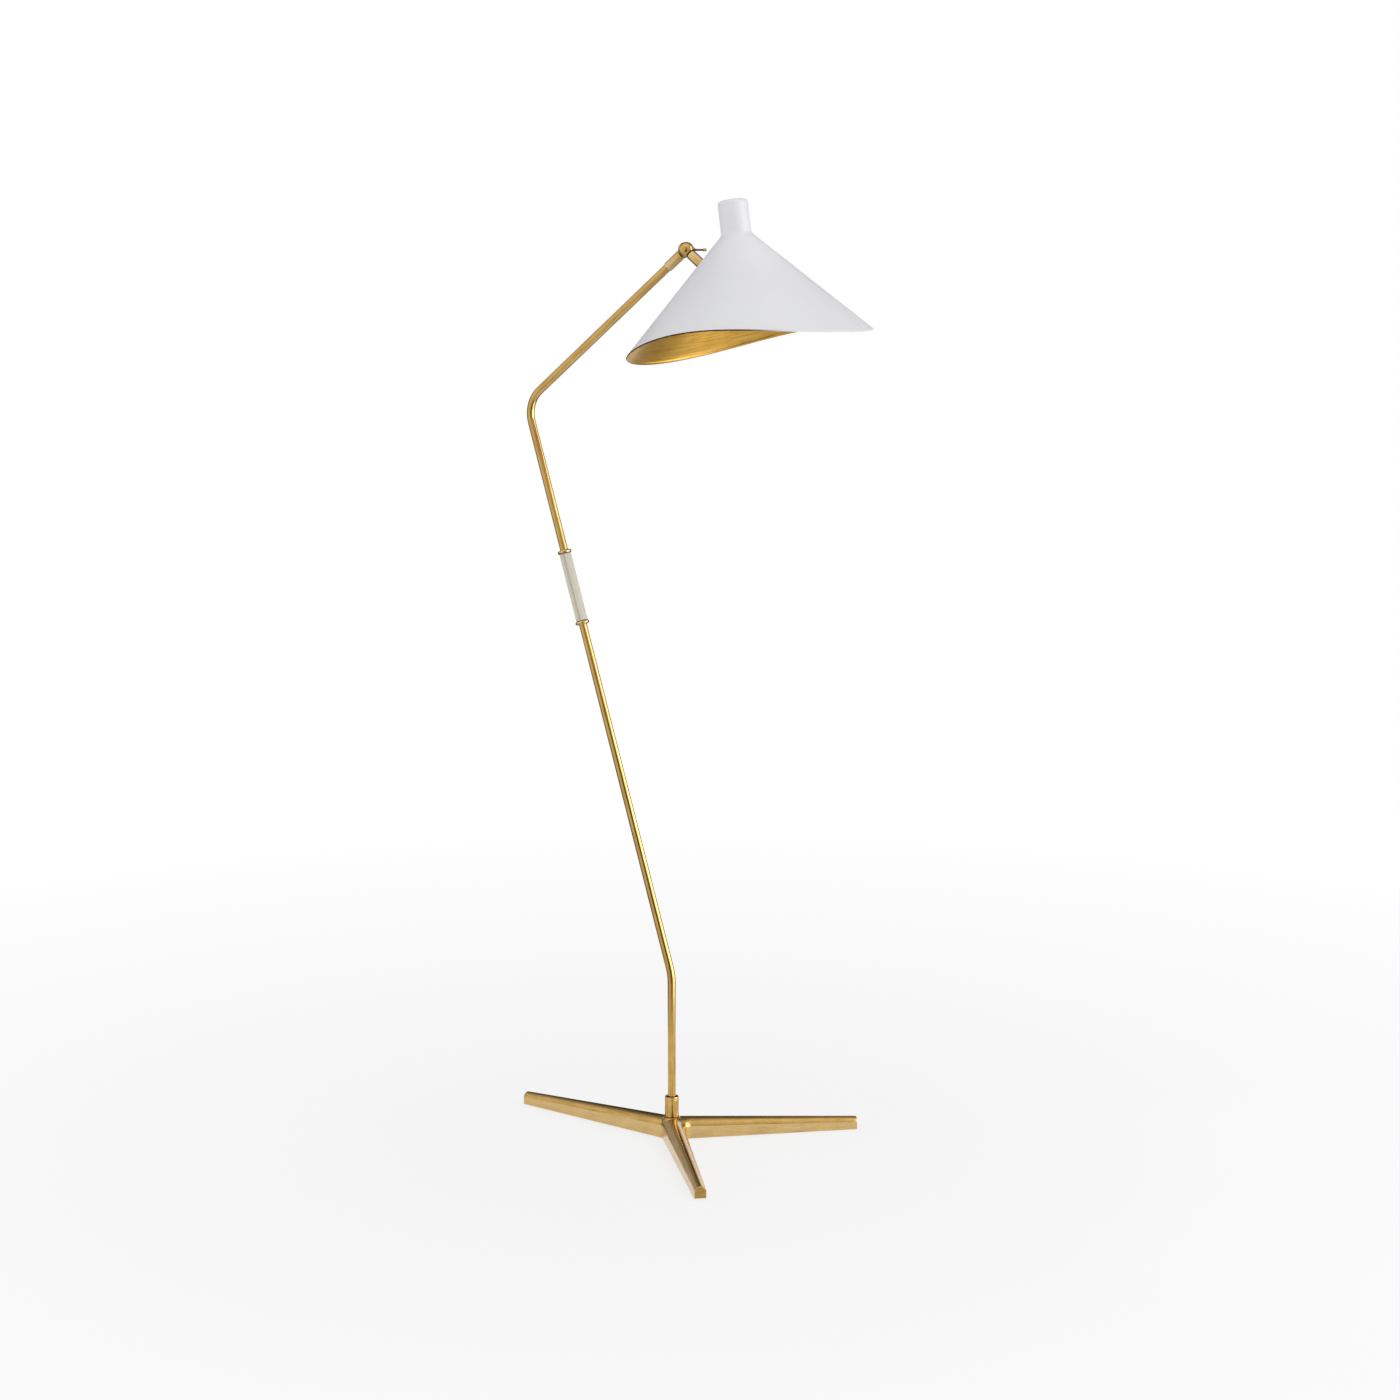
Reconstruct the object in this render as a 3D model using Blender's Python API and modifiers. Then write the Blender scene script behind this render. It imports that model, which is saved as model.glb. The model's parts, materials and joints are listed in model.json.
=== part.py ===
"""Tripod floor lamp with a bent brass pole, a leather grip and a tilting conical shade.

Frame: metres, +Z up. The pole, the arm and the shade all lie in the plane Y = 0. The head
leans out towards +X and the single back leg of the tripod points towards -X. The origin is
on the floor, under the centre of the lamp's bounding box.

The dimensions below are in millimetres and are measured from the stem axis; every empty and
object is then placed MM-scaled and moved back by SHIFT_X, so that the box is centred.
"""
import bpy
import bmesh
from math import sin, cos, tan, pi, radians, degrees, sqrt, atan2, hypot
from mathutils import Vector, Matrix

MM = 0.001
GAP = 0.3                 # clearance kept between two pieces that touch

# ---- tripod ---------------------------------------------------------------
LEG_REACH = 298.5         # stem axis to the end face of a leg
LEG_AZIMUTHS = {"rear": 180.0, "front_left": 45.0, "front_right": -45.0}
LEG_FLOOR = 1.0           # underside of the casting above the floor
LEG_HALF_HUB, LEG_HALF_TIP = 16.8, 9.3
LEG_TOP_HUB, LEG_TOP_TIP = 33.7, 20.1
ARCH_SHARE = 0.36         # share of the section's height that is the arched top
HUB_FILLET = 14.0
BOSS_R, HUB_TOP = 12.4, 34.0
PAD_AT, PAD_R, PAD_TOP = 284.0, 6.0, 2.9
RECESS_R, RECESS_TOP = 12.5, 19.0

# ---- pole -----------------------------------------------------------------
TUBE_R, TUBE_WALL = 6.35, 1.0
SOCKET_R, SOCKET_BOTTOM, SOCKET_TOP = 11.1, 34.3, 67.5
POLE_START = 40.3
BEND_LO_Z, BEND_LO_R = 264.1, 90.0
LEAN = radians(17.76)
BEND_UP_S = 932.6         # distance between the two bend corners, along the lean
BEND_UP_R = 46.0
COLLAR_LO_S, COLLAR_UP_S = 573.2, 688.4
COLLAR_R, COLLAR_H = 11.4, 5.0
GRIP_R, GRIP_CORE_R = 9.6, 8.5
BORE_R = TUBE_R + GAP     # bore of everything that slips over the tube

# ---- arm and swivel -------------------------------------------------------
BALL = Vector((29.3, 0.0, 1390.2))
BALL_R = 12.0
SLEEVE_R, SLEEVE_LENGTH = 7.75, 42.4
SLOT_HALF, SLOT_BACK = 4.0, 8.5
PIN_R, STUD_R = 2.5, 3.0
CONNECTOR_R = 7.75
LEVER_Y, LEVER_REACH = 15.4, 27.0

# ---- shade ----------------------------------------------------------------
APEX = Vector((119.0, 0.0, 1435.1))   # where the cone's sides would meet
SHADE_TILT = radians(8.37)
HALF_ANGLE = radians(45.15)
RIM_SLANT, RIM_WAVE = 253.5, 17.9     # rim: slant = RIM_SLANT + RIM_WAVE * cos(2 * azimuth)
NECK_R, NECK_TOP = 22.6, 29.5
SHADE_WALL = 1.0

# ---- lampholder and bulb (heights along the shade's axis, from the apex) --
HOLDER_R, HOLDER_TOP, HOLDER_MOUTH = 16.0, 20.6, -30.0
BULB_R, BULB_CENTRE = 30.0, -80.0

TIP_X = APEX.x + (RIM_SLANT + RIM_WAVE) * (cos(HALF_ANGLE) * sin(SHADE_TILT) + sin(HALF_ANGLE) * cos(SHADE_TILT))
SHIFT_X = (TIP_X - LEG_REACH) / 2.0   # middle of the box, between the rear foot and the rim's far tip

# ---- materials: colour, metallic, roughness -------------------------------
FINISHES = {
    "brass": ((0.56, 0.36, 0.14), 1.0, 0.33),
    "steel": ((0.55, 0.55, 0.56), 1.0, 0.4),
    "white_paint": ((0.76, 0.76, 0.78), 0.0, 0.42),
    "leather": ((0.64, 0.58, 0.48), 0.0, 0.6),
    "rubber": ((0.05, 0.05, 0.05), 0.0, 0.85),
    "phenolic": ((0.06, 0.05, 0.045), 0.0, 0.5),
    "pvc": ((0.12, 0.10, 0.08), 0.0, 0.5),
    "opal_glass": ((0.9, 0.88, 0.84), 0.0, 0.3),
    "aluminium": ((0.7, 0.7, 0.7), 1.0, 0.35),
}

for old in list(bpy.data.objects):
    bpy.data.objects.remove(old, do_unlink=True)

LAMP = bpy.data.collections.new("tripod_floor_lamp")
CUTTERS = bpy.data.collections.new("cutters")
bpy.context.scene.collection.children.link(LAMP)
bpy.context.scene.collection.children.link(CUTTERS)


# ---------------------------------------------------------------- helpers --
def material(piece, finish):
    colour, metallic, roughness = FINISHES[finish]
    mat = bpy.data.materials.new(piece + "_" + finish)
    mat.use_nodes = True
    shader = mat.node_tree.nodes["Principled BSDF"]
    shader.inputs["Base Color"].default_value = (*colour, 1.0)
    shader.inputs["Metallic"].default_value = metallic
    shader.inputs["Roughness"].default_value = roughness
    return mat


def empty(name, at=(0, 0, 0), turn_y=0.0, parent=None):
    """A frame to build in. `at` is in the parent's own axes, in millimetres."""
    e = bpy.data.objects.new(name, None)
    e.empty_display_size = 0.03
    e.location = Vector(at) * MM
    e.rotation_euler = (0.0, turn_y, 0.0)
    e.parent = parent
    LAMP.objects.link(e)
    return e


def add(name, mesh, finish, parent, at=(0, 0, 0), turn=(0, 0, 0), smooth=True):
    ob = bpy.data.objects.new(name, mesh)
    ob.location = Vector(at) * MM
    ob.rotation_euler = turn
    ob.parent = parent
    if finish is None:
        CUTTERS.objects.link(ob)
        ob.hide_render = True
        ob.display_type = "WIRE"
    else:
        LAMP.objects.link(ob)
        mesh.materials.append(material(name, finish))
        if smooth:
            mesh.shade_smooth()
            mesh.set_sharp_from_angle(angle=radians(35))
    return ob


def turned(name, profile, finish, parent, at=(0, 0, 0), turn=(0, 0, 0), closed=True, steps=24):
    """A turned piece. The profile's (radius, height) points run down the outer side."""
    mesh = bpy.data.meshes.new(name)
    n = len(profile)
    edges = [(i, i + 1) for i in range(n - 1)] + ([(n - 1, 0)] if closed else [])
    mesh.from_pydata([(r * MM, 0.0, z * MM) for r, z in profile], edges, [])
    ob = add(name, mesh, finish, parent, at, turn, smooth=False)
    screw = ob.modifiers.new("turn", "SCREW")
    screw.axis = "Z"
    screw.angle = 2 * pi
    screw.steps = screw.render_steps = steps
    screw.use_merge_vertices = True
    screw.merge_threshold = 0.00002
    screw.use_smooth_shade = True
    return ob


def ring(name, r_in, r_out, low, high, finish, parent, bevel=0.0, **kw):
    b = bevel
    if b:
        outer = [(r_out - b, high), (r_out - 0.3 * b, high - 0.3 * b), (r_out, high - b),
                 (r_out, low + b), (r_out - 0.3 * b, low + 0.3 * b), (r_out - b, low)]
    else:
        outer = [(r_out, high), (r_out, low)]
    return turned(name, outer + [(r_in, low), (r_in, high)], finish, parent, **kw)


def cylinder(name, r, low, high, finish, parent, at=(0, 0, 0), turn=(0, 0, 0), sides=24):
    mesh = bpy.data.meshes.new(name)
    bm = bmesh.new()
    bmesh.ops.create_cone(bm, cap_ends=True, segments=sides, radius1=r * MM, radius2=r * MM,
                          depth=(high - low) * MM,
                          matrix=Matrix.Translation((0, 0, (low + high) / 2 * MM)))
    bm.to_mesh(mesh)
    bm.free()
    return add(name, mesh, finish, parent, at, turn)


def sphere(name, r, finish, parent, at=(0, 0, 0), turn=(0, 0, 0)):
    mesh = bpy.data.meshes.new(name)
    bm = bmesh.new()
    bmesh.ops.create_uvsphere(bm, u_segments=24, v_segments=14, radius=r * MM)
    bm.to_mesh(mesh)
    bm.free()
    return add(name, mesh, finish, parent, at, turn)


def box(name, low, high, parent, at=(0, 0, 0), turn=(0, 0, 0)):
    mesh = bpy.data.meshes.new(name)
    bm = bmesh.new()
    size = [(b - a) * MM for a, b in zip(low, high)]
    mid = [(a + b) / 2 * MM for a, b in zip(low, high)]
    bmesh.ops.create_cube(bm, size=1.0, matrix=Matrix.Translation(mid) @ Matrix.Diagonal((*size, 1.0)))
    bm.to_mesh(mesh)
    bm.free()
    return add(name, mesh, None, parent, at, turn)


def boolean(ob, other, operation="DIFFERENCE", solver="EXACT"):
    mod = ob.modifiers.new(operation.lower() + "_" + other.name, "BOOLEAN")
    mod.operation = operation
    mod.solver = solver
    mod.object = other
    return ob


def evaluated_mesh(ob, weld=True):
    """The object's final mesh as a new, plain mesh."""
    bpy.context.view_layer.update()
    graph = bpy.context.evaluated_depsgraph_get()
    mesh = bpy.data.meshes.new_from_object(ob.evaluated_get(graph))
    if weld:
        bm = bmesh.new()
        bm.from_mesh(mesh)
        bmesh.ops.remove_doubles(bm, verts=bm.verts, dist=0.00001)
        bmesh.ops.recalc_face_normals(bm, faces=bm.faces)
        bm.to_mesh(mesh)
        bm.free()
    return mesh


def wire(name, points, radius, finish, parent, sides_resolution=2, hollow=0.0):
    """A round rod or lead along points; with `hollow` it is a tube with that wall."""
    curve = bpy.data.curves.new(name, "CURVE")
    curve.dimensions = "3D"
    curve.bevel_depth = radius * MM
    curve.bevel_resolution = sides_resolution
    curve.use_fill_caps = hollow == 0.0
    spline = curve.splines.new("POLY")
    spline.points.add(len(points) - 1)
    for p, q in zip(spline.points, points):
        p.co = (*(Vector(q) * MM), 1.0)
    rod = bpy.data.objects.new(name + "_curve", curve)
    rod.parent = parent
    LAMP.objects.link(rod)
    mesh = evaluated_mesh(rod)
    mesh.materials.clear()
    bpy.data.objects.remove(rod, do_unlink=True)
    ob = add(name, mesh, finish, parent)
    if hollow:
        wall = ob.modifiers.new("wall", "SOLIDIFY")
        wall.thickness = hollow * MM
        wall.offset = -1.0
        wall.use_rim = True
    return ob


def plate(name, outline, half_thickness, finish, parent, at=(0, 0, 0), turn=(0, 0, 0)):
    """A flat outline in the local XY plane, thick along local Z."""
    curve = bpy.data.curves.new(name, "CURVE")
    curve.dimensions = "2D"
    curve.fill_mode = "BOTH"
    curve.extrude = half_thickness * MM
    spline = curve.splines.new("POLY")
    spline.points.add(len(outline) - 1)
    for p, (x, y) in zip(spline.points, outline):
        p.co = (x * MM, y * MM, 0.0, 1.0)
    spline.use_cyclic_u = True
    flat = bpy.data.objects.new(name + "_outline", curve)
    LAMP.objects.link(flat)
    mesh = evaluated_mesh(flat)
    mesh.materials.clear()
    bpy.data.objects.remove(flat, do_unlink=True)
    return add(name, mesh, finish, parent, at, turn, smooth=False)


def arc_bend(a, corner, b, radius, steps):
    """Points of a fillet of the given radius at `corner` of the path a-corner-b."""
    u, v = (a - corner).normalized(), (b - corner).normalized()
    half = u.angle(v) / 2
    run = radius / tan(half)
    centre = corner + (u + v).normalized() * radius / sin(half)
    p, q = corner + u * run - centre, corner + v * run - centre
    sweep = p.angle(q)
    axis = p.cross(q).normalized()
    return [centre + Matrix.Rotation(sweep * i / steps, 3, axis) @ p for i in range(steps + 1)]


# ---------------------------------------------------------------- frames ---
stem = empty("stem_axis", (-SHIFT_X, 0, 0))
lean = empty("lean_axis", (0, 0, BEND_LO_Z), -LEAN, stem)
lean_dir = Vector((-sin(LEAN), 0, cos(LEAN)))
bend_lo = Vector((0, 0, BEND_LO_Z))
bend_up = bend_lo + lean_dir * BEND_UP_S
arm_dir = (BALL - bend_up).normalized()
arm = empty("arm_axis", BALL, atan2(arm_dir.x, arm_dir.z), stem)      # local +Z runs on past the ball
tilt = empty("shade_tilt_axis", BALL, 0.0, stem)                      # the head turns about its Y axis
lever_pivot = empty("lock_lever_axis", BALL + Vector((0, LEVER_Y, 0)), 0.0, stem)
shade = empty("shade_axis", APEX - BALL, -SHADE_TILT, tilt)           # local -Z runs down the cone

# arm-side side of the cone, in the lamp's own axes: from the apex down, and outwards
side_dir = Vector((cos(HALF_ANGLE) * sin(SHADE_TILT) - sin(HALF_ANGLE) * cos(SHADE_TILT), 0,
                   -cos(HALF_ANGLE) * cos(SHADE_TILT) - sin(HALF_ANGLE) * sin(SHADE_TILT)))
side_in = Vector((-side_dir.z, 0, side_dir.x))                        # square to the cone, inwards
ATTACH_SLANT = (BALL - APEX).dot(side_dir)
REACH = (APEX - BALL).dot(side_in)                                    # ball centre to the cone
head = empty("connector_axis", (0, 0, 0), atan2(side_in.x, side_in.z), tilt)  # local +Z runs to the cone


# ---------------------------------------------------------------- tripod ---
def leg_half(s):
    return LEG_HALF_HUB + (LEG_HALF_TIP - LEG_HALF_HUB) * s / LEG_REACH


def leg_top(s):
    return LEG_TOP_HUB + (LEG_TOP_TIP - LEG_TOP_HUB) * s / LEG_REACH


def leg_mesh(name, azimuth, begin, finish=None):
    """One tapered leg: flat below, upright sides, arched top, from `begin` near the stem axis to its tip."""
    top = LEG_TOP_HUB - LEG_FLOOR
    wall, rise, half = top * (1 - ARCH_SHARE), top * ARCH_SHARE, LEG_HALF_HUB
    outline = [(-half, 0.0), (half, 0.0)]
    outline += [(half * cos(t * pi / 15), wall + rise * sin(t * pi / 15)) for t in range(16)]
    ob = plate(name, outline, LEG_REACH / 2, finish, stem, at=(0, 0, LEG_FLOOR),
               turn=(pi / 2, 0, radians(azimuth) + pi / 2))
    for v in ob.data.vertices:
        at_tip = v.co.z > 0
        s = LEG_REACH if at_tip else begin
        v.co.x *= leg_half(s) / LEG_HALF_HUB
        v.co.y *= (leg_top(s) - LEG_FLOOR) / top
        v.co.z = s * MM
    return ob


def hub_fillet(name, az_a, az_b):
    """The rounded corner in plan between the left side of leg a and the right side of leg b."""
    slope = (LEG_HALF_TIP - LEG_HALF_HUB) / LEG_REACH
    a, b = (Vector((cos(radians(z)), sin(radians(z)))) for z in (az_a, az_b))
    na, nb = Vector((-a.y, a.x)), Vector((b.y, -b.x))
    pa, pb = na * LEG_HALF_HUB, nb * LEG_HALF_HUB
    da, db = (a + na * slope).normalized(), (b + nb * slope).normalized()
    t = ((pb.x - pa.x) * db.y - (pb.y - pa.y) * db.x) / (da.x * db.y - da.y * db.x)
    corner = pa + da * t
    half = da.angle(db) / 2
    middle = (da + db).normalized()
    centre = corner + middle * HUB_FILLET / sin(half)
    ta, tb = corner + da * HUB_FILLET / tan(half), corner + db * HUB_FILLET / tan(half)
    start, end = ta - centre, tb - centre
    centre -= middle * 0.35                     # so that the arc's ends run a little way into the legs
    ta, tb = centre + start, centre + end
    sweep = start.angle_signed(end)
    points = [ta - na * 1.5]
    for i in range(9):
        ang = -sweep * i / 8
        points.append(centre + Vector((start.x * cos(ang) - start.y * sin(ang), start.x * sin(ang) + start.y * cos(ang))))
    points += [tb - nb * 1.5, corner - middle * 6.0]
    height = (leg_top(22.0) - LEG_FLOOR) * (1 - ARCH_SHARE) + 0.8
    return plate(name, [(p.x, p.y) for p in points], height / 2, None, stem, at=(0, 0, LEG_FLOOR + 0.4 + height / 2))


base = leg_mesh("tripod_base", LEG_AZIMUTHS["rear"], -4.0, "brass")
boolean(base, cylinder("hub_boss", BOSS_R, 3.0, HUB_TOP, None, stem, sides=40), "UNION", solver="MANIFOLD")
for key, begin in (("front_left", 1.5), ("front_right", 2.5)):
    boolean(base, leg_mesh("leg_" + key, LEG_AZIMUTHS[key], begin), "UNION", solver="MANIFOLD")
for i, (za, zb) in enumerate(((-45.0, 45.0), (45.0, 180.0), (180.0, -45.0))):
    boolean(base, hub_fillet("hub_fillet_%d" % i, za, zb), "UNION", solver="MANIFOLD")
boolean(base, cylinder("hub_recess", RECESS_R, -5.0, RECESS_TOP, None, stem, sides=32), solver="MANIFOLD")
boolean(base, cylinder("hub_bore", 5.2, 10.0, 50.0, None, stem), solver="MANIFOLD")
for key, azimuth in LEG_AZIMUTHS.items():
    spot = (PAD_AT * cos(radians(azimuth)), PAD_AT * sin(radians(azimuth)), 0)
    boolean(base, cylinder("pad_pocket_" + key, PAD_R + GAP, -5.0, PAD_TOP + GAP, None, stem, at=spot), solver="MANIFOLD")
    cylinder("foot_pad_" + key, PAD_R, 0.0, PAD_TOP, "rubber", stem, at=spot)

# cord outlet, low in the hub between the rear leg and the front left leg
OUT_AZ, OUT_Z = radians(112.5), 7.0
outlet = empty("cord_outlet_axis", (0, 0, OUT_Z), 0.0, stem)
outlet.rotation_euler = (0.0, pi / 2, OUT_AZ)
boolean(base, cylinder("outlet_hole", 3.6, 9.0, 30.0, None, outlet), solver="MANIFOLD")
turned("cord_bushing", [(2.5, 22.0), (4.0, 22.0), (4.6, 21.4), (4.6, 20.4), (3.3, 20.4), (3.3, 12.9), (2.5, 12.9)],
       "phenolic", outlet, steps=24)

ring("hub_washer", 5.35, 11.0, 17.1, 18.7, "steel", stem)
nut = cylinder("hub_nut", 9.6, 11.8, 16.8, "steel", stem, sides=6)
boolean(nut, cylinder("hub_nut_bore", 5.35, 5.0, 25.0, None, stem))
ring("stem_nipple", 3.1, 5.0, 11.2, 60.0, "steel", stem, steps=24)

# socket: a turned cup with a rolled lip, which the stem stands in
turned("base_socket", [(8.3, SOCKET_TOP - 0.5), (8.9, SOCKET_TOP), (10.0, SOCKET_TOP), (10.8, SOCKET_TOP - 0.4), (SOCKET_R, SOCKET_TOP - 1.3),
                       (SOCKET_R, SOCKET_BOTTOM + 0.9), (SOCKET_R - 0.9, SOCKET_BOTTOM), (5.35, SOCKET_BOTTOM), (5.35, POLE_START - GAP),
                       (BORE_R, POLE_START - GAP), (BORE_R, SOCKET_TOP - 4.0), (7.9, SOCKET_TOP - 3.0)],
       "brass", stem, steps=28)


# ---------------------------------------------------------------- pole -----
start = Vector((0, 0, POLE_START))
lower_end = bend_lo + lean_dir * ((COLLAR_LO_S + COLLAR_UP_S) / 2 - 1.0)
upper_start = bend_lo + lean_dir * ((COLLAR_LO_S + COLLAR_UP_S) / 2 + 1.0)
upper_end = BALL - arm_dir * 20.6
lower_bend = arc_bend(start, bend_lo, lower_end, BEND_LO_R, 6)
upper_bend = arc_bend(upper_start, bend_up, upper_end, BEND_UP_R, 12)
wire("lower_pole", [start] + lower_bend + [lower_end], TUBE_R, "brass", stem, sides_resolution=5, hollow=TUBE_WALL)
wire("upper_pole", [upper_start] + upper_bend + [upper_end], TUBE_R, "brass", stem, sides_resolution=5, hollow=TUBE_WALL)

h = COLLAR_H / 2
bead = [(BORE_R, h + 2.6), (7.4, h + 2.6), (8.3, h + 0.8), (COLLAR_R - 1.9, h), (COLLAR_R - 0.7, h - 0.7), (COLLAR_R, h - 2.0),
        (COLLAR_R, -h + 2.0), (COLLAR_R - 0.7, -h + 0.7), (COLLAR_R - 1.9, -h), (BORE_R, -h)]
turned("upper_collar", bead, "brass", lean, at=(0, 0, COLLAR_UP_S))
turned("lower_collar", bead, "brass", lean, at=(0, 0, COLLAR_LO_S), turn=(pi, 0, 0))
g_lo, g_hi = COLLAR_LO_S + h + GAP, COLLAR_UP_S - h - GAP
ring("grip_core", BORE_R, GRIP_CORE_R, g_lo, g_hi, "steel", lean)
ring("grip_leather", GRIP_CORE_R + GAP, GRIP_R, g_lo, g_hi, "leather", lean, bevel=0.5)

# supply lead: in through the outlet, up the nipple and the pole to the ball
out_dir = Vector((cos(OUT_AZ), sin(OUT_AZ), 0))
lead = [out_dir * r + Vector((0, 0, z)) for r, z in
        ((21.4, OUT_Z), (7.0, OUT_Z), (4.2, 7.5), (2.0, 8.9), (0.6, 11.2), (0.0, 15.0))]
wire("pole_lead", lead + lower_bend + upper_bend + [BALL - arm_dir * 10.0], 1.7, "pvc", stem)

# ---------------------------------------------------------------- arm end --
sleeve = turned("arm_socket", [(SLEEVE_R, -8.0), (SLEEVE_R, -SLEEVE_LENGTH + 0.8), (SLEEVE_R - 0.8, -SLEEVE_LENGTH),
                               (BORE_R, -SLEEVE_LENGTH), (BORE_R, -8.0)], "brass", arm, steps=28)
boolean(sleeve, sphere("sleeve_seat", BALL_R + 0.35, None, arm))

ball = sphere("swivel_ball", BALL_R, "brass", arm, turn=(pi / 2, 0, 0))
boolean(ball, cylinder("ball_stub", 6.3, -20.0, -9.0, None, arm), "UNION")
boolean(ball, box("ball_slot", (-20, -SLOT_HALF, -SLOT_BACK), (20, SLOT_HALF, 20), arm))
boolean(ball, cylinder("ball_lead_bore", 2.4, -30.0, -6.0, None, arm, sides=16))
pin_turn = (-pi / 2, 0, 0)                      # local +Z along the lamp's +Y
boolean(ball, cylinder("ball_pin_bore", PIN_R + GAP, -9.8, 20.0, None, arm, turn=pin_turn))
cylinder("pivot_pin", PIN_R, -9.5, LEVER_Y + 1.0, "steel", stem, at=BALL, turn=pin_turn)

# clamping lever on the far end of the pin
lever = turned("lock_lever", [(0.0, 3.2), (3.4, 3.2), (4.3, 2.3), (4.3, -3.1), (PIN_R + GAP, -3.1), (PIN_R + GAP, 1.3), (0.0, 1.3)],
               "brass", lever_pivot, turn=pin_turn, closed=False, steps=16)
boolean(lever, cylinder("lever_arm", 1.5, 3.0, LEVER_REACH - 7.0, None, lever_pivot, turn=(0, pi / 2, 0), sides=16), "UNION")
turned("lever_knob", [(0.0, 7.0), (1.3, 7.0), (2.1, 6.2), (2.1, 0.8), (1.6, 0.3), (0.0, 0.3)], "brass", lever_pivot,
       at=(LEVER_REACH - 7.0, 0, 0), turn=(0, pi / 2, 0), closed=False, steps=16)

# ---------------------------------------------------------------- head -----
STUD_END = REACH + 12.0
tongue = cylinder("swivel_tongue", 7.8, -3.7, 2.3, "brass", tilt, turn=pin_turn, sides=32)
boolean(tongue, cylinder("tongue_stud", STUD_R, 7.0, STUD_END, None, head), "UNION")
boolean(tongue, cylinder("tongue_eye", PIN_R + GAP, -10.0, 10.0, None, tilt, turn=pin_turn))
boolean(tongue, cylinder("tongue_bore", 1.75, 14.0, STUD_END + 5.0, None, head, sides=16))
ring("friction_washer", PIN_R + GAP, 6.5, 2.6, 3.7, "steel", tilt, turn=pin_turn, steps=24)

connector = ring("shade_connector", STUD_R + GAP, CONNECTOR_R, 8.0, REACH - GAP, "brass", head, steps=28)
boolean(connector, sphere("connector_seat", BALL_R + 0.35, None, head))


# shade: neck and cone spun as one, then its rim is drawn out at the front and the back
def shade_profile():
    points = [(0.0, NECK_TOP), (14.0, NECK_TOP - 0.4), (NECK_R - 3.6, NECK_TOP - 1.3)]
    points += [(NECK_R - 3.6 + 3.6 * sin(t * pi / 8), NECK_TOP - 4.9 + 3.6 * cos(t * pi / 8)) for t in (2, 4)]
    joint = NECK_R / sin(HALF_ANGLE)            # slant of the corner between neck and cone
    soft = 4.0
    points.append((NECK_R, -joint * cos(HALF_ANGLE) + soft))
    corner = Vector((NECK_R, -joint * cos(HALF_ANGLE)))
    for t in (0.5,):                            # a small soft corner
        a = corner + Vector((0, soft)) * (1 - t)
        b = corner + Vector((sin(HALF_ANGLE), -cos(HALF_ANGLE))) * soft * t
        points.append(tuple(a.lerp(b, t)))
    for slant in (joint + soft, ATTACH_SLANT, 170.0, RIM_SLANT):
        points.append((slant * sin(HALF_ANGLE), -slant * cos(HALF_ANGLE)))
    return points


def shade_shell():
    mesh = bpy.data.meshes.new("shade_shell")
    bm = bmesh.new()
    chain = [bm.verts.new((r * MM, 0, z * MM)) for r, z in shade_profile()]
    for a, b in zip(chain, chain[1:]):
        bm.edges.new((a, b))
    bmesh.ops.spin(bm, geom=bm.verts[:] + bm.edges[:], cent=(0, 0, 0), axis=(0, 0, 1), angle=2 * pi, steps=40, use_merge=False)
    bmesh.ops.remove_doubles(bm, verts=bm.verts, dist=0.00002)
    rim_z = -RIM_SLANT * cos(HALF_ANGLE) * MM
    for v in bm.verts:
        if v.co.z < -100 * MM:
            share = (v.co.z + 100 * MM) / (rim_z + 100 * MM)
            azimuth = atan2(v.co.y, v.co.x)
            v.co *= 1.0 + share * RIM_WAVE * cos(2 * azimuth) / RIM_SLANT
    bmesh.ops.recalc_face_normals(bm, faces=bm.faces)
    if sum(f.normal.z * f.calc_area() for f in bm.faces) < 0:
        bmesh.ops.reverse_faces(bm, faces=bm.faces)
    bm.to_mesh(mesh)
    bm.free()
    ob = add("shade_shell", mesh, "white_paint", shade)
    wall = ob.modifiers.new("wall", "SOLIDIFY")
    wall.thickness = SHADE_WALL * MM
    wall.offset = -1.0
    wall.use_even_offset = True
    return ob


shell = shade_shell()
boolean(shell, cylinder("shade_hole", STUD_R + 0.35, REACH - 6.0, REACH + 6.0, None, head))

# bracket: a bent strip from the stud, up the inside of the cone and the neck, to carry the lampholder
STRIP, STRIP_HALF, STRIP_OFF = 1.5, 6.5, 2.75
inner = lambda slant, off: Vector((-slant * sin(HALF_ANGLE) + off * cos(HALF_ANGLE), -slant * cos(HALF_ANGLE) - off * sin(HALF_ANGLE)))
UP_X, BAR_Z = -18.3, HOLDER_TOP + 1.4
turn_slant = (-UP_X + STRIP_OFF * cos(HALF_ANGLE)) / sin(HALF_ANGLE)
path = [inner(ATTACH_SLANT + 9.5, STRIP_OFF), inner(turn_slant, STRIP_OFF), Vector((UP_X, BAR_Z)), Vector((7.5, BAR_Z))]


def strip_outline(points, thick):
    """Both sides of a bent strip, mitred at its corners."""
    left, right = [], []
    for i, p in enumerate(points):
        before = (p - points[i - 1]).normalized() if i else None
        after = (points[i + 1] - p).normalized() if i < len(points) - 1 else None
        d = before or after
        if before and after:
            n1, n2 = Vector((-before.y, before.x)), Vector((-after.y, after.x))
            m = (n1 + n2).normalized()
            off = m * (thick / 2) / m.dot(n1)
        else:
            off = Vector((-d.y, d.x)) * thick / 2
        left.append(p + off)
        right.append(p - off)
    return [tuple(v) for v in left + right[::-1]]


bracket = plate("socket_bracket", strip_outline(path, STRIP), STRIP_HALF, "steel", shade, turn=(pi / 2, 0, 0))
boolean(bracket, cylinder("bracket_stud_hole", STUD_R + 0.35, REACH - 4.0, REACH + 10.0, None, head))
boolean(bracket, cylinder("bracket_nipple_hole", 3.3, BAR_Z - 6, BAR_Z + 6, None, shade))

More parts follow.
